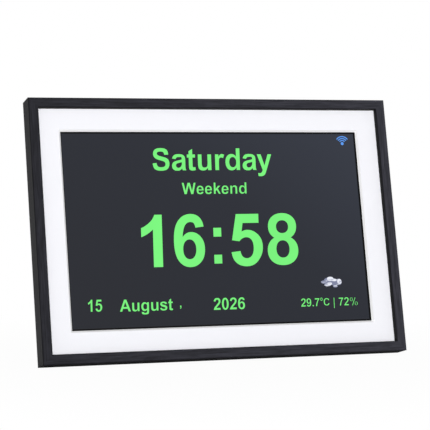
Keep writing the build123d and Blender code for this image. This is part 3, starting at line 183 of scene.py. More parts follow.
# Letters of the readout, in thousandths of their size: each has its advance and its outlines, which are
# laid on or, where marked, cut out in turn. A point in square brackets is a curve's control point.
SIX = [
    (517, 541), (384, 527), [378, 568], [346, 606], (304, 606), [256, 606], [190, 520], (178, 402),
    [228, 469], (314, 469), [402, 469], [528, 340], (528, 236), [528, 122], [392, -12], (291, -12),
    [180, -12], [38, 160], (38, 350), [38, 542], [190, 719], (308, 719), [396, 719], [504, 627],
]
U = [
    (68, 519), (205, 519), (205, 218), [205, 92], (288, 92), [352, 92], [407, 148], (407, 281), (407, 519),
    (544, 519), (544, 0), (417, 0), (417, 78), [388, 35], [310, -12], (246, -12), [161, -12], [68, 74],
    (68, 190),
]
LETTERS = {
    "0": (556, [oval(40, -12, 516, 719), ("cut", oval(182, 102, 374, 605))]),
    "1": (556, [[
        (393, 0), (256, 0), (256, 517), [181, 447], (79, 413), (79, 537), [133, 555], (196, 604),
        [259, 653], (282, 719), (393, 719),
    ]]),
    "2": (556, [[
        (506, 128), (506, 0), (25, 0), [33, 73], [110, 196], (226, 304), [323, 395], (348, 430), [376, 475],
        (376, 518), [376, 605], (282, 605), [188, 605], (181, 494), (44, 508), [55, 619], [176, 719],
        (286, 719), [396, 719], [513, 614], (513, 526), [513, 476], (495, 431), [477, 386], (438, 337),
        [412, 304], (346, 243), [279, 182], (261, 162), [243, 142], (232, 128),
    ]]),
    "5": (556, [[
        (44, 184), (181, 198), [187, 152], [236, 98], (280, 98), [326, 98], [388, 172], (388, 246),
        [388, 316], [326, 386], (279, 386), [218, 386], (170, 332), (58, 348), (129, 706), (478, 706),
        (478, 582), (229, 582), (209, 465), [253, 487], (299, 487), [388, 487], [530, 360], (530, 254),
        [530, 166], (479, 96), [409, -12], (279, -12), [178, -12], [56, 86],
    ]]),
    "6": (556, [SIX, ("cut", oval(182, 98, 388, 367))]),
    "7": (556, [[
        (42, 579), (42, 706), (513, 706), (513, 606), [454, 548], (394, 439), [333, 331], (302, 208),
        [270, 86], (271, 0), (138, 0), [142, 138], (196, 282), [250, 426], (340, 579),
    ]]),
    "8": (556, [
        oval(56, 340, 501, 719), oval(38, -12, 519, 405),
        ("cut", oval(188, 440, 368, 611)), ("cut", oval(180, 100, 376, 332)),
    ]),
    "9": (556, [turned_over(SIX, 556, 707), ("cut", oval(168, 340, 374, 609))]),
    ".": (278, [bar(72, 0, 209, 137)]),
    ",": (278, [[
        (64, 137), (201, 137), (201, 39), [201, -20], (191, -55), [180, -90], (152, -117), [124, -145],
        (80, -160), (53, -104), [94, -90], (112, -67), [129, -43], (130, 0), (64, 0),
    ]]),
    ":": (333, [bar(98, 27, 235, 160), bar(98, 398, 235, 532)]),
    "|": (280, [bar(80, -134, 170, 728)]),
    "°": (400, [
        oval(60, 430, 340, 728, CIRCLE_FULLNESS),
        ("cut", oval(138, 512, 262, 646, CIRCLE_FULLNESS)),
    ]),
    "%": (889, [
        oval(26, 340, 374, 728), ("cut", oval(140, 428, 260, 640)),
        oval(515, -28, 863, 360), ("cut", oval(629, 60, 749, 272)),
        [(211, -28), (347, -28), (678, 728), (542, 728)],
    ]),
    "C": (722, [[
        (531, 263), (671, 219), [639, 102], [512, -12], (365, -12), [227, -12], [47, 158], (47, 353),
        [47, 559], [226, 728], (376, 728), [508, 728], (591, 650), [640, 604], (665, 517), (522, 483),
        [509, 539], [440, 604], (369, 604), [289, 604], [195, 498], (195, 362), [195, 218], [287, 112],
        (366, 112), [424, 112], [508, 186],
    ]]),
    "S": (667, [[
        (36, 233), (177, 247), [190, 176], [248, 109], (332, 109), [416, 109], [484, 160], (484, 212),
        [484, 242], (466, 262), [448, 282], (404, 298), [374, 309], (267, 335), [60, 386], (60, 536),
        [60, 624], [176, 728], (322, 728), [462, 728], [590, 640], (595, 508), (450, 501), [440, 560],
        [396, 609], (320, 609), [246, 609], [200, 570], (200, 545), [200, 520], (221, 503), [250, 479],
        (360, 453), [512, 418], (553, 388), [628, 338], (628, 214), [628, 122], [506, -12], (331, -12),
        [196, -12], [55, 78],
    ]]),
    "A": (722, [
        [(718, 0), (561, 0), (498, 163), (212, 163), (153, 0), (0, 0), (279, 716), (432, 716)],
        ("cut", [(452, 284), (354, 549), (257, 284)]),
    ]),
    "W": (944, [[
        (171, 0), (0, 716), (148, 716), (256, 224), (387, 716), (559, 716), (684, 216), (794, 716),
        (940, 716), (766, 0), (612, 0), (470, 534), (328, 0),
    ]]),
    "a": (556, [
        [
            (174, 361), (50, 383), [71, 458], [168, 531], (282, 531), [380, 531], (430, 507), [478, 484],
            (498, 447), [518, 411], (518, 314), (517, 154), [517, 86], (524, 51), [531, 17], (551, -1),
            (415, -1), [409, 14], (402, 41), (398, 57), [352, 12], (300, -11), [260, -12], (208, -12),
            [132, -12], [42, 77], (42, 147), [42, 194], (65, 231), [88, 268], (128, 288), [169, 308],
            (246, 323), [349, 342], (389, 359), (389, 373), [389, 415], (368, 433), [347, 428], (276, 428),
            [238, 428], (214, 413), [192, 398],
        ],
        ("cut", [
            (389, 264), [360, 254], (299, 241), [237, 228], (218, 215), [189, 195], (189, 163), [189, 132],
            [234, 86], (266, 86), [303, 86], (336, 110), [361, 128], (369, 155), [389, 173], (389, 236),
        ]),
    ]),
    "d": (611, [
        oval(42, -12, 480, 531), ("cut", oval(184, 96, 428, 424)), bar(425, 0, 562, 716),
        ("cut", [(400, -20), (434, -20), (434, 70), (400, 36)]),
    ]),
    "e": (556, [
        [
            (372, 165), (509, 142), [482, 66], [384, -12], (280, -12), [146, -12], [35, 110], (35, 254),
            [35, 384], [166, 531], (267, 531), [388, 531], [522, 384], (516, 217), (172, 217), [174, 155],
            [232, 92], (282, 92), [317, 92], (341, 111), [362, 128],
        ],
        ("cut", [(380, 304), [378, 364], [326, 427], (277, 427), [224, 427], [174, 372], (175, 304)]),
    ]),
    "g": (611, [
        oval(42, -6, 480, 531), ("cut", oval(182, 104, 422, 424)),
        [
            (419, 519), (547, 519), (547, 53), [547, -60], [500, -210], (304, -210), [160, -210],
            [56, -150], (60, -37), (217, -56), [222, -84], [244, -106], (298, -106), [352, -106],
            (379, -90), [410, -72], (410, 4), (410, 470),
        ],
    ]),
    "k": (556, [[
        (67, 0), (67, 716), (204, 716), (204, 336), (365, 519), (534, 519), (357, 330), (547, 0), (399, 0),
        (268, 233), (204, 166), (204, 0),
    ]]),
    "n": (611, [turned_over(U, 611, 519)]),
    "r": (389, [[
        (203, 0), (66, 0), (66, 519), (193, 519), (193, 445), [226, 497], [276, 531], (312, 531),
        [354, 531], (400, 505), (357, 386), [322, 409], (292, 409), [244, 409], [203, 356], (203, 160),
    ]]),
    "s": (556, [[
        (24, 148), (161, 169), [170, 129], [210, 90], (270, 90), [336, 90], [372, 116], (372, 140),
        [372, 157], (361, 168), [350, 179], (311, 188), [44, 246], (44, 370), [44, 441], [140, 531],
        (262, 531), [380, 531], [478, 462], (494, 383), (365, 359), [356, 395], [318, 430], (265, 430),
        [174, 430], (174, 392), [174, 378], (188, 368), [207, 354], (319, 329), [509, 287], (509, 156),
        [509, 86], [400, -12], (270, -12), [158, -12], [46, 74],
    ]]),
    "t": (333, [[
        (309, 519), (309, 410), (215, 410), (215, 200), [215, 136], (218, 126), [226, 100], (252, 100),
        [272, 100], (310, 114), (322, 7), [271, -12], (207, -12), [138, -12], (90, 35), [78, 58], (78, 190),
        (78, 410), (15, 410), (15, 519), (78, 519), (78, 622), (215, 702), (215, 519),
    ]]),
    "u": (611, [U]),
    "y": (556, [[
        (7, 519), (153, 519), (277, 151), (398, 519), (540, 519), (357, 20), (324, -70), [306, -115],
        (290, -139), [273, -163], (251, -178), [205, -210], (125, -210), [84, -210], (45, -202), (33, -95),
        [66, -101], (92, -101), [141, -101], (164, -72), [188, -44], (200, 0),
    ]]),
}
LETTER_UNITS = 1000

# Pieces of the readout, in chunks: the text, its left end and baseline in millimetres from the middle of the
# glass, the letter size, the share that the letters are narrowed to and how far their strokes are drawn in
READOUT = {
    "weekday": [("Saturday", -45.8, 41.2, 22.0, 0.949, 4)],
    "day_kind": [("Weekend", -25.1, 24.2, 11.5, 0.96, 12)],
    "time": [
        ("1", -61.2, -26.5, 50.8, 0.945, 0), ("6", -35.8, -26.5, 51.2, 0.896, 1),
        (":", -9.8, -26.7, 51.1, 0.895, 6), ("5", 5.7, -26.8, 51.7, 0.929, 0),
        ("8", 32.7, -26.8, 51.4, 0.944, 4),
    ],
    "date": [
        ("15", -98.1, -55.9, 11.6, 0.85, 9), ("August", -75.2, -56.5, 11.6, 0.95, 9),
        (",", -32.6, -54.6, 7.8, 0.8, 0), ("2026", -8.4, -57.4, 11.7, 0.91, 9),
    ],
    "climate": [
        ("29.7", 56.5, -57.1, 8.2, 0.91, 14), ("°", 70.9, -57.0, 8.3, 0.85, 17),
        ("C", 73.5, -56.8, 7.4, 0.99, 24), ("|", 80.7, -57.7, 8.9, 1.02, 22),
        ("72", 85.1, -57.2, 8.3, 0.9, 18), ("%", 93.6, -57.3, 8.2, 0.91, 36),
    ],
}

# How far the readout's shapes lean to the right for each unit of height
SLANT = 0.04

# The wireless sign, in millimetres: its place on the glass, its dot's radius and its bands' inner radii and
# width, with the half angle and the straight pieces of a band
WIRELESS_PLACE = (98.9, 60.25)
WIRELESS_DOT = 1.15
WIRELESS_BANDS = (1.95, 3.4, 4.85)
BAND_WIDTH = 0.72
BAND_HALF_ANGLE = radians(54)
BAND_STEPS = 10

# Boxes that the cloud's round parts fill, in millimetres on the glass: left, bottom, right and top
CLOUD_BODY = [
    (73.3, -41.2, 78.4, -38.9), (75.4, -42.4, 84.6, -36.8), (79.4, -42.6, 87.4, -38.2),
    (84.2, -42.4, 89.0, -38.0), (82.1, -44.1, 85.8, -42.3),
]
CLOUD_PUFFS = [
    (78.0, -39.4, 82.9, -36.4), (81.4, -39.7, 85.2, -37.9), (85.7, -41.8, 88.9, -38.1),
    (75.6, -43.1, 80.6, -41.0), (77.8, -42.3, 81.6, -40.2), (82.6, -43.5, 85.3, -42.5),
]

# The cloud's soft patches: where they turn from the shaded to the bright colour, and their marks to the metre
BODY_TURN, PUFFS_TURN = 0.71, 0.395
CLOUD_PATCHES = (300.0, 300.0, 520.0)

# Signs printed on the keys, in millimetres from the middle of each, and the thickness of the print
KEY_SIGNS = {
    "menu": [bar(-1.4, level - 0.19, 1.4, level + 0.19) for level in (-0.95, 0.0, 0.95)],
    "up": [[(-1.5, -0.9), (1.5, -0.9), (0, 1.2)]],
    "down": [[(-1.5, 0.9), (0, -1.2), (1.5, 0.9)]],
    "enter": [disc(0, 0, 1.3), ("cut", disc(0, 0, 0.85))],
    "power": [
        disc(0, -0.1, 1.35), ("cut", disc(0, -0.1, 1.0)), ("cut", bar(-0.45, 0, 0.45, 1.6)),
        bar(-0.18, -0.1, 0.18, 1.5),
    ],
}
PRINT_THICKNESS = 0.04


def outline(controls):
    """The closed polygon that a shape's corners, in tuples, and curve controls, in lists, make."""
    full = []
    for point, following in zip(controls, controls[1:] + controls[:1]):
        full.append(point)
        if isinstance(point, list) and isinstance(following, list):
            full.append(((point[0] + following[0]) / 2, (point[1] + following[1]) / 2))
    first = next(index for index, point in enumerate(full) if isinstance(point, tuple))
    full = full[first:] + full[:first]
    polygon = []
    for index, point in enumerate(full):
        if isinstance(point, tuple):
            polygon.append(Vector(point))
            continue
        start, end = Vector(full[index - 1]), Vector(full[(index + 1) % len(full)])
        for step in range(1, CURVE_STEPS):
            share = step / CURVE_STEPS
            bend = 2 * share * (1 - share) * Vector(point)
            polygon.append((1 - share) ** 2 * start + bend + share**2 * end)
    return polygon


def drawn_in(polygon, distance):
    """A polygon that turns to the left, with its sides moved inwards."""
    moved = []
    for before, point, after in zip(polygon[-1:] + polygon[:-1], polygon, polygon[1:] + polygon[:1]):
        inward = [Vector((-side.y, side.x)).normalized() for side in (point - before, after - point)]
        middle = inward[0] + inward[1]
        moved.append(point + middle * (distance / max(middle.dot(inward[0]), LEAST_OPENING)))
    return moved


def filled(shapes, thinning=0.0):
    """Points and triangles of closed outlines, laid on or cut out in turn, with thinner strokes if asked."""
    points, loops = [], []
    cuts = [shape[0] == "cut" for shape in shapes]
    for shape, cut in zip(shapes, cuts):
        polygon = outline(shape[1] if cut else shape)
        turning = sum(before.cross(after) for before, after in zip(polygon, polygon[1:] + polygon[:1]))
        if turning < 0:
            polygon.reverse()
        if thinning:
            polygon = drawn_in(polygon, -thinning if cut else thinning)
        loops.append(list(range(len(points), len(points) + len(polygon))))
        points += polygon
    places, _, triangles, _, _, inside = delaunay_2d_cdt(points, [], loops, FILL_LOOPS, JOIN_DISTANCE)
    kept = [triangle for triangle, numbers in zip(triangles, inside) if numbers and not cuts[max(numbers)]]
    return places, kept


def line_of_letters(text, left, baseline, size, narrowing, thinning):
    """The filled letters of one chunk, in millimetres of the clock's face, with a slight slant."""
    letters = []
    across, up = size * narrowing / LETTER_UNITS, size / LETTER_UNITS
    for letter in text:
        advance, shapes = LETTERS[letter]
        places, triangles = filled(shapes, thinning)
        slanted = [(left + across * x + SLANT * up * z, baseline + up * z) for x, z in places]
        letters.append((slanted, triangles))
        left += across * advance
    return letters


def fan_band(x, z, inner):
    """A band of the wireless sign's fan, which opens upwards, as a closed outline."""
    outer = inner + BAND_WIDTH
    angles = [pi / 2 + BAND_HALF_ANGLE * (2 * step / BAND_STEPS - 1) for step in range(BAND_STEPS + 1)]
    outside = [(outer * cos(angle), outer * sin(angle)) for angle in angles]
    inside = [(inner * cos(angle), inner * sin(angle)) for angle in reversed(angles)]
    return [(x + across + SLANT * up, z + up) for across, up in outside + inside]


def face_plane(node, outward):
    """Millimetres on a node's outermost face: x to its right, y outwards and z up, from its middle."""
    middle = sum(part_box(node), Vector()) / 2
    reach = max((vertex.co - middle).dot(outward) for vertex in frame["nodes"][node].data.vertices)
    axes = Matrix((UP.cross(outward), outward, UP)).transposed().to_4x4()
    return Matrix.Translation(middle + reach * outward) @ axes @ Matrix.Scale(MILLIMETRE, 4)


def mesh_object(name, work, material):
    """A new object in the scene, from a mesh that has been worked on."""
    mesh = bpy.data.meshes.new(name)
    work.to_mesh(mesh)
    work.free()
    mesh.materials.append(material)
    thing = bpy.data.objects.new(name, mesh)
    bpy.context.scene.collection.objects.link(thing)
    return thing


def raised(name, flats, plane, thickness, body, finish, start=0.0):
    """A thin closed piece on a face, from flat filled shapes, which rides a body."""
    work = bmesh.new()
    for places, triangles in flats:
        corners = [work.verts.new((x, start, z)) for x, z in places]
        for triangle in triangles:
            work.faces.new([corners[number] for number in triangle])
    loose = [corner for corner in work.verts if not corner.link_faces]
    bmesh.ops.delete(work, geom=loose, context="VERTS")
    lifted = bmesh.ops.extrude_face_region(work, geom=work.faces[:], use_keep_orig=True)
    tops = [part for part in lifted["geom"] if isinstance(part, bmesh.types.BMVert)]
    bmesh.ops.translate(work, vec=(0, thickness, 0), verts=tops)
    bmesh.ops.transform(work, matrix=plane, verts=work.verts[:])
    bmesh.ops.recalc_face_normals(work, faces=work.faces[:])
    piece = mesh_object(name, work, finish)
    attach(piece, body)
    return piece


def linear(colour):
    """A colour as the screen shows it, made ready for a shader."""
    steps = [part / 12.92 if part <= 0.04045 else ((part + 0.055) / 1.055) ** 2.4 for part in colour[:3]]
    return (*steps, 1.0)


def shade(colour, factor):
    return tuple(min(1.0, part * factor) for part in colour[:3])


class Shading:
    """The shader nodes of a material or of the world."""

    def __init__(self, owner):
        owner.use_nodes = True
        self.nodes = owner.node_tree.nodes
        self.links = owner.node_tree.links

    def feed(self, node, inputs):
        """Gives a node's inputs, by name or number, plain values or what comes out of other nodes."""
        for key, value in inputs.items():
            if isinstance(value, bpy.types.NodeSocket):
                self.links.new(value, node.inputs[key])
            else:
                node.inputs[key].default_value = value
        return node

    def add(self, kind, inputs=None, **settings):
        node = self.nodes.new(f"ShaderNode{kind}")
        for name, value in settings.items():
            setattr(node, name, value)
        return self.feed(node, inputs or {})

    def math(self, operation, *values):
        return self.add("Math", dict(enumerate(values)), operation=operation).outputs["Value"]

    def vector_math(self, operation, *values):
        """What a vector operation gives: a plain number for a length or a dot product, or else a vector."""
        node = self.add("VectorMath", dict(enumerate(values)), operation=operation)
        return node.outputs["Value" if operation in ("LENGTH", "DOT_PRODUCT") else "Vector"]

    def level(self, value, low, high, from_low=0.0, from_high=1.0):
        """A value brought from one range into another."""
        ends = {"From Min": from_low, "From Max": from_high, "To Min": low, "To Max": high}
        return self.add("MapRange", {"Value": value, **ends}).outputs["Result"]

    def show_mixed(self, output, first, second, shares):
        """Shows one shader, and a second one by the highest of some shares."""
        share = shares[0]
        for other in shares[1:]:
            share = self.math("MAXIMUM", share, other)
        mix = self.add("MixShader", {"Fac": share, 1: first, 2: second})
        self.feed(self.nodes[output], {"Surface": mix.outputs["Shader"]})


class Finish(Shading):
    """A procedural material that is built up from its main shader."""

    def __init__(self, name, roughness=0.5, metallic=0.0, specular=0.5):
        self.material = bpy.data.materials.new(name)
        super().__init__(self.material)
        self.shader = self.nodes["Principled BSDF"]
        self.place = self.add("TexCoord").outputs["Object"]
        self.relief = None
        self.paint({"Roughness": roughness, "Metallic": metallic, "Specular IOR Level": specular})

    def paint(self, inputs):
        self.feed(self.shader, inputs)

    def glow(self, colour):
        """Light of the display's own, at the strength at which a colour shows as it is written."""
        self.paint({"Emission Color": colour, "Emission Strength": 1.0})

    def upright(self, stretch=(1, 1, 1)):
        """Places on the clock as if it stood upright, stretched along each of its directions."""
        turned = self.add("Mapping", {"Vector": self.place, "Rotation": (LEAN, 0, 0)})
        return self.add("Mapping", {"Vector": turned.outputs["Vector"], "Scale": stretch}).outputs["Vector"]

    def noise(self, scale, detail, roughness=0.55, place=None):
        inputs = {"Vector": place or self.place, "Scale": scale, "Detail": detail, "Roughness": roughness}
        return self.add("TexNoise", inputs).outputs["Fac"]

    def ramp(self, value, *stops):
        """A range of colours over a value; each stop is a place from 0 to 1 and a colour."""
        ramp = self.add("ValToRGB", {"Fac": value})
        points = ramp.color_ramp.elements
        while len(points) < len(stops):
            points.new(0.5)
        for point, (place, colour) in zip(points, stops):
            point.position = place
            point.color = linear(colour)
        return ramp.outputs["Color"]

    def facing(self, direction, low=0.0, high=1.0):
        """A value that is high on the faces that look in a direction and low on those that look elsewhere."""
        normal = self.add("TexCoord").outputs["Normal"]
        towards = self.vector_math("DOT_PRODUCT", normal, direction)
        return self.level(towards, low, high, FACING_FROM, FACING_FULL)

    def scaled(self, colour, factor):
        """A colour made darker or lighter by a value that differs over the surface."""
        inputs = {"Vector": colour, "Scale": factor}
        return self.add("VectorMath", inputs, operation="SCALE").outputs["Vector"]

    def bump(self, height, depth, strength):
        """Fine relief, on top of any that the finish has already."""
        inputs = {"Height": height, "Distance": depth, "Strength": strength}
        if self.relief:
            inputs["Normal"] = self.relief
        self.relief = self.add("Bump", inputs).outputs["Normal"]
        self.paint({"Normal": self.relief})


def stained_wood(name, colour, along, painted_shade_faces=(), ends=None):
    """Stained open-pored wood whose grain runs along one of the clock's axes.

    Faces and eased edges that look in some directions are darkened by painted shade, each by its factor,
    and painted light may scale the colour from the clock's left end to its right one.
    """
    finish = Finish(name, specular=0.06)
    stretch = [WOOD_ACROSS] * 3
    stretch[along] = FIGURE_ALONG
    grain = finish.noise(1.0, detail=5.0, roughness=0.6, place=finish.upright(stretch))
    stretch[along] = PORES_ALONG
    pores = finish.noise(1.0, detail=2.0, roughness=0.5, place=finish.upright(stretch))
    figure = finish.ramp(grain, (0.30, shade(colour, 0.76)), (0.50, colour), (0.72, shade(colour, 1.26)))
    stain_and_painted_light = finish.scaled(figure, finish.level(pores, 0.78, 1.03, 0.34, 0.50))
    # Painted shade on the faces that look in the given directions
    for direction, factor in painted_shade_faces:
        stain_and_painted_light = finish.scaled(stain_and_painted_light, finish.facing(direction, 1.0, factor))
    # Painted light: the colour is scaled from the clock's left end to its right one, darker at the left and
    # lighter at the right
    if ends:
        across = finish.vector_math("DOT_PRODUCT", finish.upright(), RIGHT)
        lowest, highest = CAD_BOX
        stain_and_painted_light = finish.scaled(stain_and_painted_light, finish.level(across, *ends, lowest[0], highest[0]))
    finish.paint({"Base Color": stain_and_painted_light, "Roughness": finish.level(grain, 0.52, 0.70)})
    finish.bump(grain, depth=0.00015, strength=0.45)
    finish.bump(finish.level(pores, 0.0, 1.0, 0.30, 0.42), depth=0.0001, strength=0.35)
    return finish.material


def card(name, colour, core):
    """Card faced with paper, whose core shows on its cut edges; the mat's lighter core is also painted light
    that brightens its shaded bevel.
    """
    finish = Finish(name, roughness=0.92, specular=0.2)
    fibres = finish.noise(2600.0, detail=3.0)
    # Faces that don't look to the front take the core colour, which on the mat is also painted light on the
    # shaded bevel
    paper_and_core_painted_light = finish.ramp(finish.facing(-BACK), (0.0, core), (1.0, colour))
    finish.paint({"Base Color": finish.scaled(paper_and_core_painted_light, finish.level(fibres, 0.967, 1.0, 0.25, 0.75))})
    finish.bump(fibres, depth=0.00002, strength=0.25)
    return finish.material


def moulded(name, colour, roughness, grain=5200.0, depth=0.00003):
    """Moulded plastic or rubber with a fine eroded texture."""
    finish = Finish(name, specular=0.4)
    wear = finish.noise(55.0, detail=2.0)
    sparks = finish.noise(grain, detail=2.0)
    speckle = finish.ramp(sparks, (0.32, shade(colour, 0.84)), (0.5, colour), (0.68, shade(colour, 1.16)))
    finish.paint({"Base Color": speckle, "Roughness": finish.level(wear, roughness - 0.08, roughness + 0.08)})
    finish.bump(sparks, depth, strength=0.5)
    return finish.material


def metal(name, colour, roughness=0.32, stretch=DRAWN_METAL):
    """Metal with a faint drawn or brushed grain."""
    finish = Finish(name, metallic=1.0)
    streaks = finish.noise(1.0, detail=4.0, roughness=0.6, place=finish.upright(stretch))
    tint = finish.ramp(streaks, (0.3, shade(colour, 0.9)), (0.7, shade(colour, 1.05)))
    finish.paint({"Base Color": tint, "Roughness": finish.level(streaks, roughness - 0.08, roughness + 0.1)})
    finish.bump(streaks, depth=0.00001, strength=0.3)
    return finish.material


def clear_sheet(name, colour):
    finish = Finish(name, roughness=0.08)
    tint = finish.ramp(finish.noise(120.0, detail=2.0), (0.3, shade(colour, 0.97)), (0.7, colour))
    finish.paint({"Base Color": tint, "Transmission Weight": 0.85, "IOR": 1.49})
    finish.bump(finish.noise(900.0, detail=2.0), depth=0.00001, strength=0.2)
    return finish.material


def printed_board(name, colour):
    """Solder resist over copper tracks, with plated pads."""
    finish = Finish(name, roughness=0.42)
    flat = finish.add("Mapping", {"Vector": finish.upright(BOARD_TRACKS), "Rotation": (pi / 2, 0, 0)})
    tracks = finish.add("TexBrick", {
        "Vector": flat.outputs["Vector"], "Scale": 1.0,
        "Mortar Size": 0.055, "Brick Width": 2.6, "Row Height": 0.42,
        "Color1": linear(colour), "Color2": linear(shade(colour, 0.86)),
        "Mortar": linear(shade(colour, 1.45)),
    })
    finish.paint({"Base Color": tracks.outputs["Color"]})
    finish.bump(tracks.outputs["Fac"], depth=0.00003, strength=0.3)
    return finish.material


def display_face(name, colour):
    """The dark border of the display, under a satin film."""
    finish = Finish(name, roughness=0.3, specular=0.08)
    haze = finish.noise(HAZE, detail=2.0)
    finish.paint({"Base Color": finish.ramp(haze, (0.3, shade(colour, 0.8)), (0.7, colour))})
    finish.bump(haze, depth=0.000004, strength=0.2)
    return finish.material


def lit_picture(name, low, high):
    """The display's lit dark ground, with a painted reflection that makes it a little brighter towards the
    top right corner.
    """
    finish = Finish(name, LIT_ROUGHNESS, specular=0.1)
    # Painted reflection: the glow brightens along a slope towards the top right
    slope = finish.vector_math("DOT_PRODUCT", finish.upright(), PAINTED_GLARE_SLOPE)
    between = tuple((2 * first + second) / 3 for first, second in zip(low, high))
    share = finish.level(slope, 0.0, 1.0, GLARE_FROM, GLARE_TO)
    finish.glow(finish.ramp(share, (0.0, low), (0.55, between), (1.0, high)))
    haze = finish.noise(HAZE, detail=2.0)
    finish.paint({"Base Color": finish.ramp(haze, (0.3, (0.010, 0.010, 0.012)), (0.7, (0.03, 0.03, 0.034)))})
    finish.bump(haze, depth=0.000004, strength=0.2)
    return finish.material


def lit_colour(name, colour):
    """Light from the display in one colour, with the faint unevenness of its backlight."""
    finish = Finish(name, LIT_ROUGHNESS, specular=0.12)
    finish.paint({"Base Color": UNLIT})
    finish.glow(finish.ramp(finish.noise(38.0, detail=1.0), (0.3, shade(colour, 0.97)), (0.7, colour)))
    return finish.material


def lit_cloud(name, low, high, turn):
    """Light from the display in soft patches between two colours."""
    finish = Finish(name, LIT_ROUGHNESS, specular=0.1)
    finish.paint({"Base Color": UNLIT})
    patches = finish.noise(1.0, detail=2.0, roughness=0.5, place=finish.upright(CLOUD_PATCHES))
    finish.glow(finish.ramp(patches, (turn - 0.14, low), (turn + 0.12, high)))
    return finish.material


def dress(finish, *nodes):
    """CAD nodes keep their shapes and take a finish."""
    for node in nodes:
        slots = frame["nodes"][node].data.materials
        slots.clear()
        slots.append(finish)


def colour_property(name, description, default):
    return bpy.props.FloatVectorProperty(
        name=name, description=description, subtype="COLOR_GAMMA", size=3, min=0.0, max=1.0, default=default
    )


def number_property(name, description, default, **kind):
    return bpy.props.FloatProperty(name=name, description=description, default=default, **kind)


def place_property(name, description, default):
    return bpy.props.FloatVectorProperty(
        name=name, description=description, unit="LENGTH", size=3, default=default
    )


class ClockFinishes(bpy.types.PropertyGroup):
    """Colours of the clock's pieces, as the screen shows them"""

    wood: colour_property("Frame wood", "Stained wood of the four rails", (0.175, 0.175, 0.198))
    block_wood: colour_property("Corner blocks", "Plain wood behind the mat", (0.72, 0.58, 0.40))
    mat: colour_property("Mat", "Paper face of the mat", (0.965, 0.965, 0.985))
    # The core is whiter than the paper face, and also painted light that brightens the mat's shaded bevel
    mat_core_and_painted_light: colour_property("Mat core", "Core of the mat, which shows on its bevel", (0.995, 0.995, 1.0))
    border: colour_property("Display border", "Dark edge round the display's picture", (0.012, 0.012, 0.014))
    cover: colour_property("Rear cover", "Moulded cover, bracket and leg", (0.115, 0.115, 0.122))
    keys: colour_property("Keys", "Moulded keys", (0.20, 0.20, 0.21))
    signs: colour_property("Key signs", "Printed signs on the keys", (0.80, 0.80, 0.80))
    board: colour_property("Circuit boards", "Solder resist of the boards", (0.06, 0.30, 0.17))
    steel: colour_property("Sheet steel", "Plated sheet of the display and clamps", (0.70, 0.71, 0.73))
    screws: colour_property("Screws", "Black plating of the screws", (0.19, 0.19, 0.20))


class ClockReadout(bpy.types.PropertyGroup):
    """The lit picture on the display"""

    width: number_property("Picture width", "Lit width of the display", 0.2166, unit="LENGTH")
    height: number_property("Picture height", "Lit height of the display", 0.1347, unit="LENGTH")
    shift: number_property("Picture shift", "How far right of the glass's middle", -0.0004, unit="LENGTH")
    film: number_property("Film", "Thickness of the film over the glass", 0.00006, unit="LENGTH")
    ink: number_property("Lit shapes", "Thickness of what is lit on the film", 0.00003, unit="LENGTH")
    letters: colour_property("Letters", "Lit letters and numbers", (0.478, 0.970, 0.492))
    ground_low: colour_property("Ground, low", "Lit ground at the bottom left", (0.126, 0.134, 0.162))
    # The top right colour holds the painted reflection on the ground
    ground_high_painted_glare: colour_property("Ground, high", "Lit ground at the top right", (0.206, 0.222, 0.264))
    wireless: colour_property("Wireless sign", "Lit wireless sign", (0.36, 0.62, 0.97))
    cloud: colour_property("Cloud", "Lit cloud, bright side", (0.93, 0.94, 0.98))
    cloud_shade: colour_property("Cloud shade", "Lit cloud, shaded side", (0.50, 0.52, 0.63))


class ClockStage(bpy.types.PropertyGroup):
    """Floor, light and camera"""

    camera: place_property("Camera", "Where the camera stands", (-0.4021, -1.1784, 0.1516))
    aim: place_property("Aim", "The point that the camera looks at", (-0.0042, -0.0196, 0.1003))
    lens: number_property("Lens", "Focal length on a 36 mm sensor", 148.15, unit="CAMERA")
    floor: colour_property("Floor", "Pale floor", (0.96, 0.96, 0.96))
    near_white: number_property("Near white", "Share of white close to the clock", 0.965, subtype="FACTOR")
    fill: number_property("Fill light", "Strength of the even light from all round", 0.235)
    key: number_property("Key light", "Power of the large soft lamp in front", 219.0, unit="POWER")
    back: number_property("Back light", "Power of the large soft lamp behind", 150.0, unit="POWER")


class ClockStep:
    """What the clock's operators share"""

    bl_options = {"REGISTER"}

    @property
    def finishes(self):
        return bpy.context.scene.clock_finishes

    @property
    def readout(self):
        return bpy.context.scene.clock_readout

    def on_glass(self, name, flats, finish, start, thickness):
        """A thin lit piece that starts at a distance in front of the display's glass."""
        plane = face_plane("lcd_glass", -BACK)
        piece = raised(name, flats, plane, thickness / MILLIMETRE, "clock", finish, start / MILLIMETRE)


class CLOCK_OT_frame(ClockStep, bpy.types.Operator):
    """Stained wood for the four rails, with the grain along each, painted shade on their inner sides, eased
    edges, left side and underside, and painted light that grows towards the right
    """

    bl_idname = "clock.frame"
    bl_label = "Frame rails"

    def execute(self, context):
        for side, (along, inward, edge_painted_shade, outer_painted_shade) in RAILS.items():
            # Painted shade in the recess on the inner side and inner eased edge, on the outer eased edge and
            # on the outer side
            inner_edge, outer_edge = (inward - BACK).normalized(), (-inward - BACK).normalized()
            painted_shade_faces = [
                (inward, INNER_SIDE_PAINTED_SHADE), (inner_edge, INNER_EDGE_PAINTED_SHADE),
                (outer_edge, edge_painted_shade), (-inward, outer_painted_shade),
            ]
            wood = stained_wood(f"black_wood_painted_shade_{side}", self.finishes.wood, along, painted_shade_faces, PAINTED_LIGHT_ENDS)
            dress(wood, f"frame_rail_{side}")
        dress(stained_wood("plain_wood", self.finishes.block_wood, ACROSS_CLOCK), "corner_blocks")
        return {"FINISHED"}


class CLOCK_OT_mat(ClockStep, bpy.types.Operator):
    """White card for the mat"""

    bl_idname = "clock.mat"
    bl_label = "Mat"

    def execute(self, context):
        dress(card("white_mat_card", self.finishes.mat, self.finishes.mat_core_and_painted_light), "mat_board")
        return {"FINISHED"}


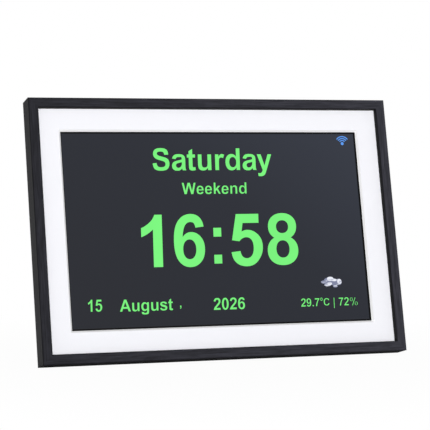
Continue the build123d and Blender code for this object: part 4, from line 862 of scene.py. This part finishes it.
class CLOCK_OT_display(ClockStep, bpy.types.Operator):
    """Finishes for the display's layers, and the film that carries the lit picture"""

    bl_idname = "clock.display"
    bl_label = "Display"

    def execute(self, context):
        dress(metal("display_steel", self.finishes.steel), "lcd_bezel", "backlight_tray", "display_clamps")
        dress(display_face("display_glass", self.finishes.border), "lcd_glass")
        dress(moulded("diffuser_film", DIFFUSER_FILM, roughness=0.7), "backlight_films")
        dress(clear_sheet("clear_acrylic", ACRYLIC), "light_guide")
        dress(printed_board("led_board", LED_BOARD), "led_bar")
        half_width = self.readout.width / MILLIMETRE / 2
        half_height = self.readout.height / MILLIMETRE / 2
        shift = self.readout.shift / MILLIMETRE
        sheet = filled([bar(shift - half_width, -half_height, shift + half_width, half_height)])
        ground = lit_picture("lit_ground_painted_glare", self.readout.ground_low, self.readout.ground_high_painted_glare)
        self.on_glass("display_film", [sheet], ground, 0.0, self.readout.film)
        return {"FINISHED"}


class CLOCK_OT_readout(ClockStep, bpy.types.Operator):
    """Lit words and numbers on the display"""

    bl_idname = "clock.readout"
    bl_label = "Readout"

    def execute(self, context):
        lit = lit_colour("lit_green", self.readout.letters)
        for name, chunks in READOUT.items():
            letters = [letter for chunk in chunks for letter in line_of_letters(*chunk)]
            self.on_glass(f"readout_{name}", letters, lit, self.readout.film, self.readout.ink)
        return {"FINISHED"}


class CLOCK_OT_signs(ClockStep, bpy.types.Operator):
    """Lit wireless and weather signs on the display"""

    bl_idname = "clock.signs"
    bl_label = "Display signs"

    def execute(self, context):
        film, ink = self.readout.film, self.readout.ink
        bands = [fan_band(*WIRELESS_PLACE, inner) for inner in WIRELESS_BANDS]
        fan = [filled([shape]) for shape in (*bands, disc(*WIRELESS_PLACE, WIRELESS_DOT))]
        self.on_glass("wireless_sign", fan, lit_colour("lit_blue", self.readout.wireless), film, ink)
        colours = self.readout.cloud_shade, self.readout.cloud
        body = filled([oval(*box) for box in CLOUD_BODY])
        self.on_glass("cloud_body", [body], lit_cloud("lit_cloud_shade", *colours, BODY_TURN), film, ink)
        puffs = filled([oval(*box) for box in CLOUD_PUFFS])
        self.on_glass("cloud_puffs", [puffs], lit_cloud("lit_cloud", *colours, PUFFS_TURN), film + ink, ink)
        return {"FINISHED"}


class CLOCK_OT_boards(ClockStep, bpy.types.Operator):
    """Finishes for the circuit boards and what is soldered to them"""

    bl_idname = "clock.boards"
    bl_label = "Boards"

    def execute(self, context):
        dress(printed_board("circuit_board", self.finishes.board), "driver_board", "main_board", "key_board")
        ivory = moulded("connector_plastic", IVORY_PLASTIC, roughness=0.5)
        dress(ivory, "driver_connector", "display_connector", "speaker_connector")
        dress(ivory, "key_board_connector", "key_ribbon_socket")
        dress(moulded("chip_resin", CHIP_RESIN, roughness=0.6), "processor", "memory_chips")
        dress(metal("shield_steel", SHIELD_STEEL, roughness=0.28), "wireless_module")
        dress(metal("capacitor_aluminium", ALUMINIUM, roughness=0.3), "board_capacitors")
        dress(metal("cell_steel", CELL_STEEL, roughness=0.3), "backup_cell")
        black = moulded("black_plastic", BLACK_PLASTIC, roughness=0.5)
        dress(black, "backup_cell_holder", "dc_jack", "key_switches")
        dress(metal("contact_brass", BRASS, roughness=0.25), "dc_jack_pin")
        ribbon = moulded("ribbon_film", RIBBON_FILM, roughness=0.35, grain=300.0, depth=0.00002)
        dress(ribbon, "display_ribbon", "key_ribbon")
        return {"FINISHED"}


class CLOCK_OT_sound(ClockStep, bpy.types.Operator):
    """Finishes for the speaker, the aerial and their leads"""

    bl_idname = "clock.sound"
    bl_label = "Speaker and aerial"

    def execute(self, context):
        dress(metal("basket_steel", self.finishes.steel), "speaker_basket")
        dress(card("speaker_paper", CONE_PAPER, CONE_EDGE), "speaker_cone")
        dress(moulded("magnet_ferrite", FERRITE, roughness=0.65, grain=1800.0), "speaker_magnet")
        dress(moulded("gasket_rubber", GASKET_RUBBER, roughness=0.8, grain=1500.0), "speaker_gasket")
        dress(moulded("lead_rubber", LEAD_RUBBER, roughness=0.6), "speaker_lead", "aerial_lead")
        dress(moulded("aerial_film", AERIAL_FILM, roughness=0.3, grain=700.0), "aerial")
        return {"FINISHED"}


class CLOCK_OT_screws(ClockStep, bpy.types.Operator):
    """Black-plated steel for every screw"""

    bl_idname = "clock.screws"
    bl_label = "Screws"

    def execute(self, context):
        plated = metal("black_screw_steel", self.finishes.screws, roughness=0.36, stretch=SCREW_METAL)
        dress(plated, *(node for node in frame["nodes"] if node.endswith("_screws")))
        return {"FINISHED"}


class CLOCK_OT_cover(ClockStep, bpy.types.Operator):
    """Fine-textured moulding for the rear cover"""

    bl_idname = "clock.cover"
    bl_label = "Rear cover"

    def execute(self, context):
        moulding = moulded("cover_plastic", self.finishes.cover, roughness=0.58, grain=1700.0, depth=0.0001)
        dress(moulding, "rear_cover")
        return {"FINISHED"}


class CLOCK_OT_keys(ClockStep, bpy.types.Operator):
    """Moulded keys with printed signs"""

    bl_idname = "clock.keys"
    bl_label = "Keys"

    def execute(self, context):
        moulding = moulded("key_plastic", self.finishes.keys, roughness=0.45)
        nylon = moulded("plunger_plastic", PLUNGER_PLASTIC, roughness=0.5)
        print_paint = moulded("key_sign_print", self.finishes.signs, roughness=0.6)
        for name, shapes in KEY_SIGNS.items():
            key = f"key_{name}"
            dress(moulding, key)
            dress(nylon, f"switch_plunger_{name}")
            plane = face_plane(key, BACK)
            sign = raised(f"key_sign_{name}", [filled(shapes)], plane, PRINT_THICKNESS, key, print_paint)
        return {"FINISHED"}


class CLOCK_OT_stand(ClockStep, bpy.types.Operator):
    """Finishes for the folding leg, its bracket, pin and foot pad"""

    bl_idname = "clock.stand"
    bl_label = "Stand"

    def execute(self, context):
        moulding = moulded("stand_plastic", self.finishes.cover, roughness=0.55, grain=1700.0, depth=0.00009)
        dress(moulding, "stand_leg", "stand_bracket")
        dress(metal("pin_steel", PIN_STEEL, roughness=0.25), "stand_hinge_pin")
        dress(moulded("pad_rubber", PAD_RUBBER, roughness=0.85, grain=1300.0), "stand_foot_pad")
        return {"FINISHED"}


def set_up(scene, name, data, place, aim):
    """A lamp or camera that stands at a place and looks at a point."""
    thing = bpy.data.objects.new(name, data)
    thing.location = place
    thing.rotation_euler = (Vector(aim) - Vector(place)).to_track_quat("-Z", "Y").to_euler()
    scene.collection.objects.link(thing)
    return thing


class CLOCK_OT_stage(ClockStep, bpy.types.Operator):
    """Pale floor, soft studio light and the camera"""

    bl_idname = "clock.stage"
    bl_label = "Stage"

    def execute(self, context):
        scene = context.scene
        settings = scene.clock_stage
        scene.view_settings.view_transform = "Standard"
        self.make_world(scene, settings)
        self.make_floor(settings)
        self.make_lamp(scene, "front_lamp", FRONT_LAMP, settings.key)
        self.make_lamp(scene, "back_lamp", BACK_LAMP, settings.back)
        self.make_camera(scene, settings)
        return {"FINISHED"}

    def make_world(self, scene, settings):
        """An even fill light, which is seen as plain white, straight on or in a gloss or a clear piece."""
        scene.world = bpy.data.worlds.new("studio")
        shading = Shading(scene.world)
        light = shading.feed(shading.nodes["Background"], {"Color": WHITE, "Strength": settings.fill})
        white = shading.add("Background", {"Color": WHITE, "Strength": 1.0})
        path = shading.add("LightPath").outputs
        shares = [path["Is Camera Ray"], path["Is Glossy Ray"], path["Is Transmission Ray"]]
        shading.show_mixed("World Output", light.outputs["Background"], white.outputs["Background"], shares)

    def make_floor(self, settings):
        """A pale matt floor that is seen as white, with a little of the clock's shading left near it."""
        material = bpy.data.materials.new("pale_floor")
        shading = Shading(material)
        matt = shading.feed(
            shading.nodes["Principled BSDF"],
            {"Base Color": linear(settings.floor), "Roughness": 0.95, "Specular IOR Level": 0.0},
        )
        white = shading.add("Emission", {"Color": WHITE})
        place = shading.add("TexCoord").outputs["Object"]
        distance = shading.vector_math("LENGTH", place)
        whiteness = shading.level(distance, settings.near_white, 1.0, SHADE_FROM, SHADE_TO)
        path = shading.add("LightPath").outputs
        shares = [
            shading.math("MULTIPLY", whiteness, path["Is Camera Ray"]),
            shading.math("MULTIPLY", self.beyond_rail(shading, place), path["Is Glossy Ray"]),
            path["Is Transmission Ray"],
        ]
        shading.show_mixed("Material Output", matt.outputs["BSDF"], white.outputs["Emission"], shares)
        work = bmesh.new()
        bmesh.ops.create_circle(work, cap_ends=True, segments=FLOOR_SIDES, radius=FLOOR_RADIUS)
        floor = mesh_object("floor", work, material)

    def beyond_rail(self, shading, place):
        """0 on the strip of floor that the bottom rail shades, and 1 away from it."""
        lowest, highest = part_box("frame_rail_bottom")
        from_middle = shading.vector_math("SUBTRACT", place, (lowest + highest) / 2)
        apart = shading.vector_math("ABSOLUTE", from_middle)
        beyond = shading.vector_math("SUBTRACT", apart, (highest - lowest) / 2)
        sides = shading.add("SeparateXYZ", {"Vector": beyond}).outputs
        outside = shading.math("MAXIMUM", sides["X"], sides["Y"])
        return shading.level(outside, 0.0, 1.0, 0.0, RAIL_SHADE_REACH)

    def make_lamp(self, scene, name, place, power):
        data = bpy.data.lights.new(name, "AREA")
        data.shape = "DISK"
        data.size = LAMP_SIZE
        data.energy = power
        set_up(scene, name, data, place, LAMP_AIM)

    def make_camera(self, scene, settings):
        data = bpy.data.cameras.new("camera")
        data.sensor_fit = "HORIZONTAL"
        data.sensor_width = SENSOR_WIDTH
        data.lens = settings.lens
        data.clip_start = NEAREST_SEEN
        scene.camera = set_up(scene, "camera", data, settings.camera, settings.aim)


STEPS = (
    CLOCK_OT_frame, CLOCK_OT_mat, CLOCK_OT_display, CLOCK_OT_readout, CLOCK_OT_signs, CLOCK_OT_boards,
    CLOCK_OT_sound, CLOCK_OT_screws, CLOCK_OT_cover, CLOCK_OT_keys, CLOCK_OT_stand, CLOCK_OT_stage,
)


class CLOCK_PT_panel(bpy.types.Panel):
    """The clock's pieces and their settings"""

    bl_idname = "CLOCK_PT_panel"
    bl_label = "Calendar clock"
    bl_space_type = "VIEW_3D"
    bl_region_type = "UI"
    bl_category = "Clock"

    def draw(self, context):
        scene = context.scene
        for settings in (scene.clock_finishes, scene.clock_readout, scene.clock_stage):
            box = self.layout.box()
            for name in settings.__annotations__:
                box.prop(settings, name)
        for step in STEPS:
            self.layout.operator(step.bl_idname)


GROUPS = {"clock_finishes": ClockFinishes, "clock_readout": ClockReadout, "clock_stage": ClockStage}


def register():
    for name, group in GROUPS.items():
        bpy.utils.register_class(group)
        setattr(bpy.types.Scene, name, bpy.props.PointerProperty(type=group))
    for step in (*STEPS, CLOCK_PT_panel):
        bpy.utils.register_class(step)


def unregister():
    for step in reversed((*STEPS, CLOCK_PT_panel)):
        bpy.utils.unregister_class(step)
    for name, group in GROUPS.items():
        delattr(bpy.types.Scene, name)
        bpy.utils.unregister_class(group)


def main():
    register()
    bpy.ops.clock.frame()
    bpy.ops.clock.mat()
    bpy.ops.clock.display()
    bpy.ops.clock.readout()
    bpy.ops.clock.signs()
    bpy.ops.clock.boards()
    bpy.ops.clock.sound()
    bpy.ops.clock.screws()
    bpy.ops.clock.cover()
    bpy.ops.clock.keys()
    bpy.ops.clock.stand()
    bpy.ops.clock.stage()


if __name__ == "__main__":
    main()
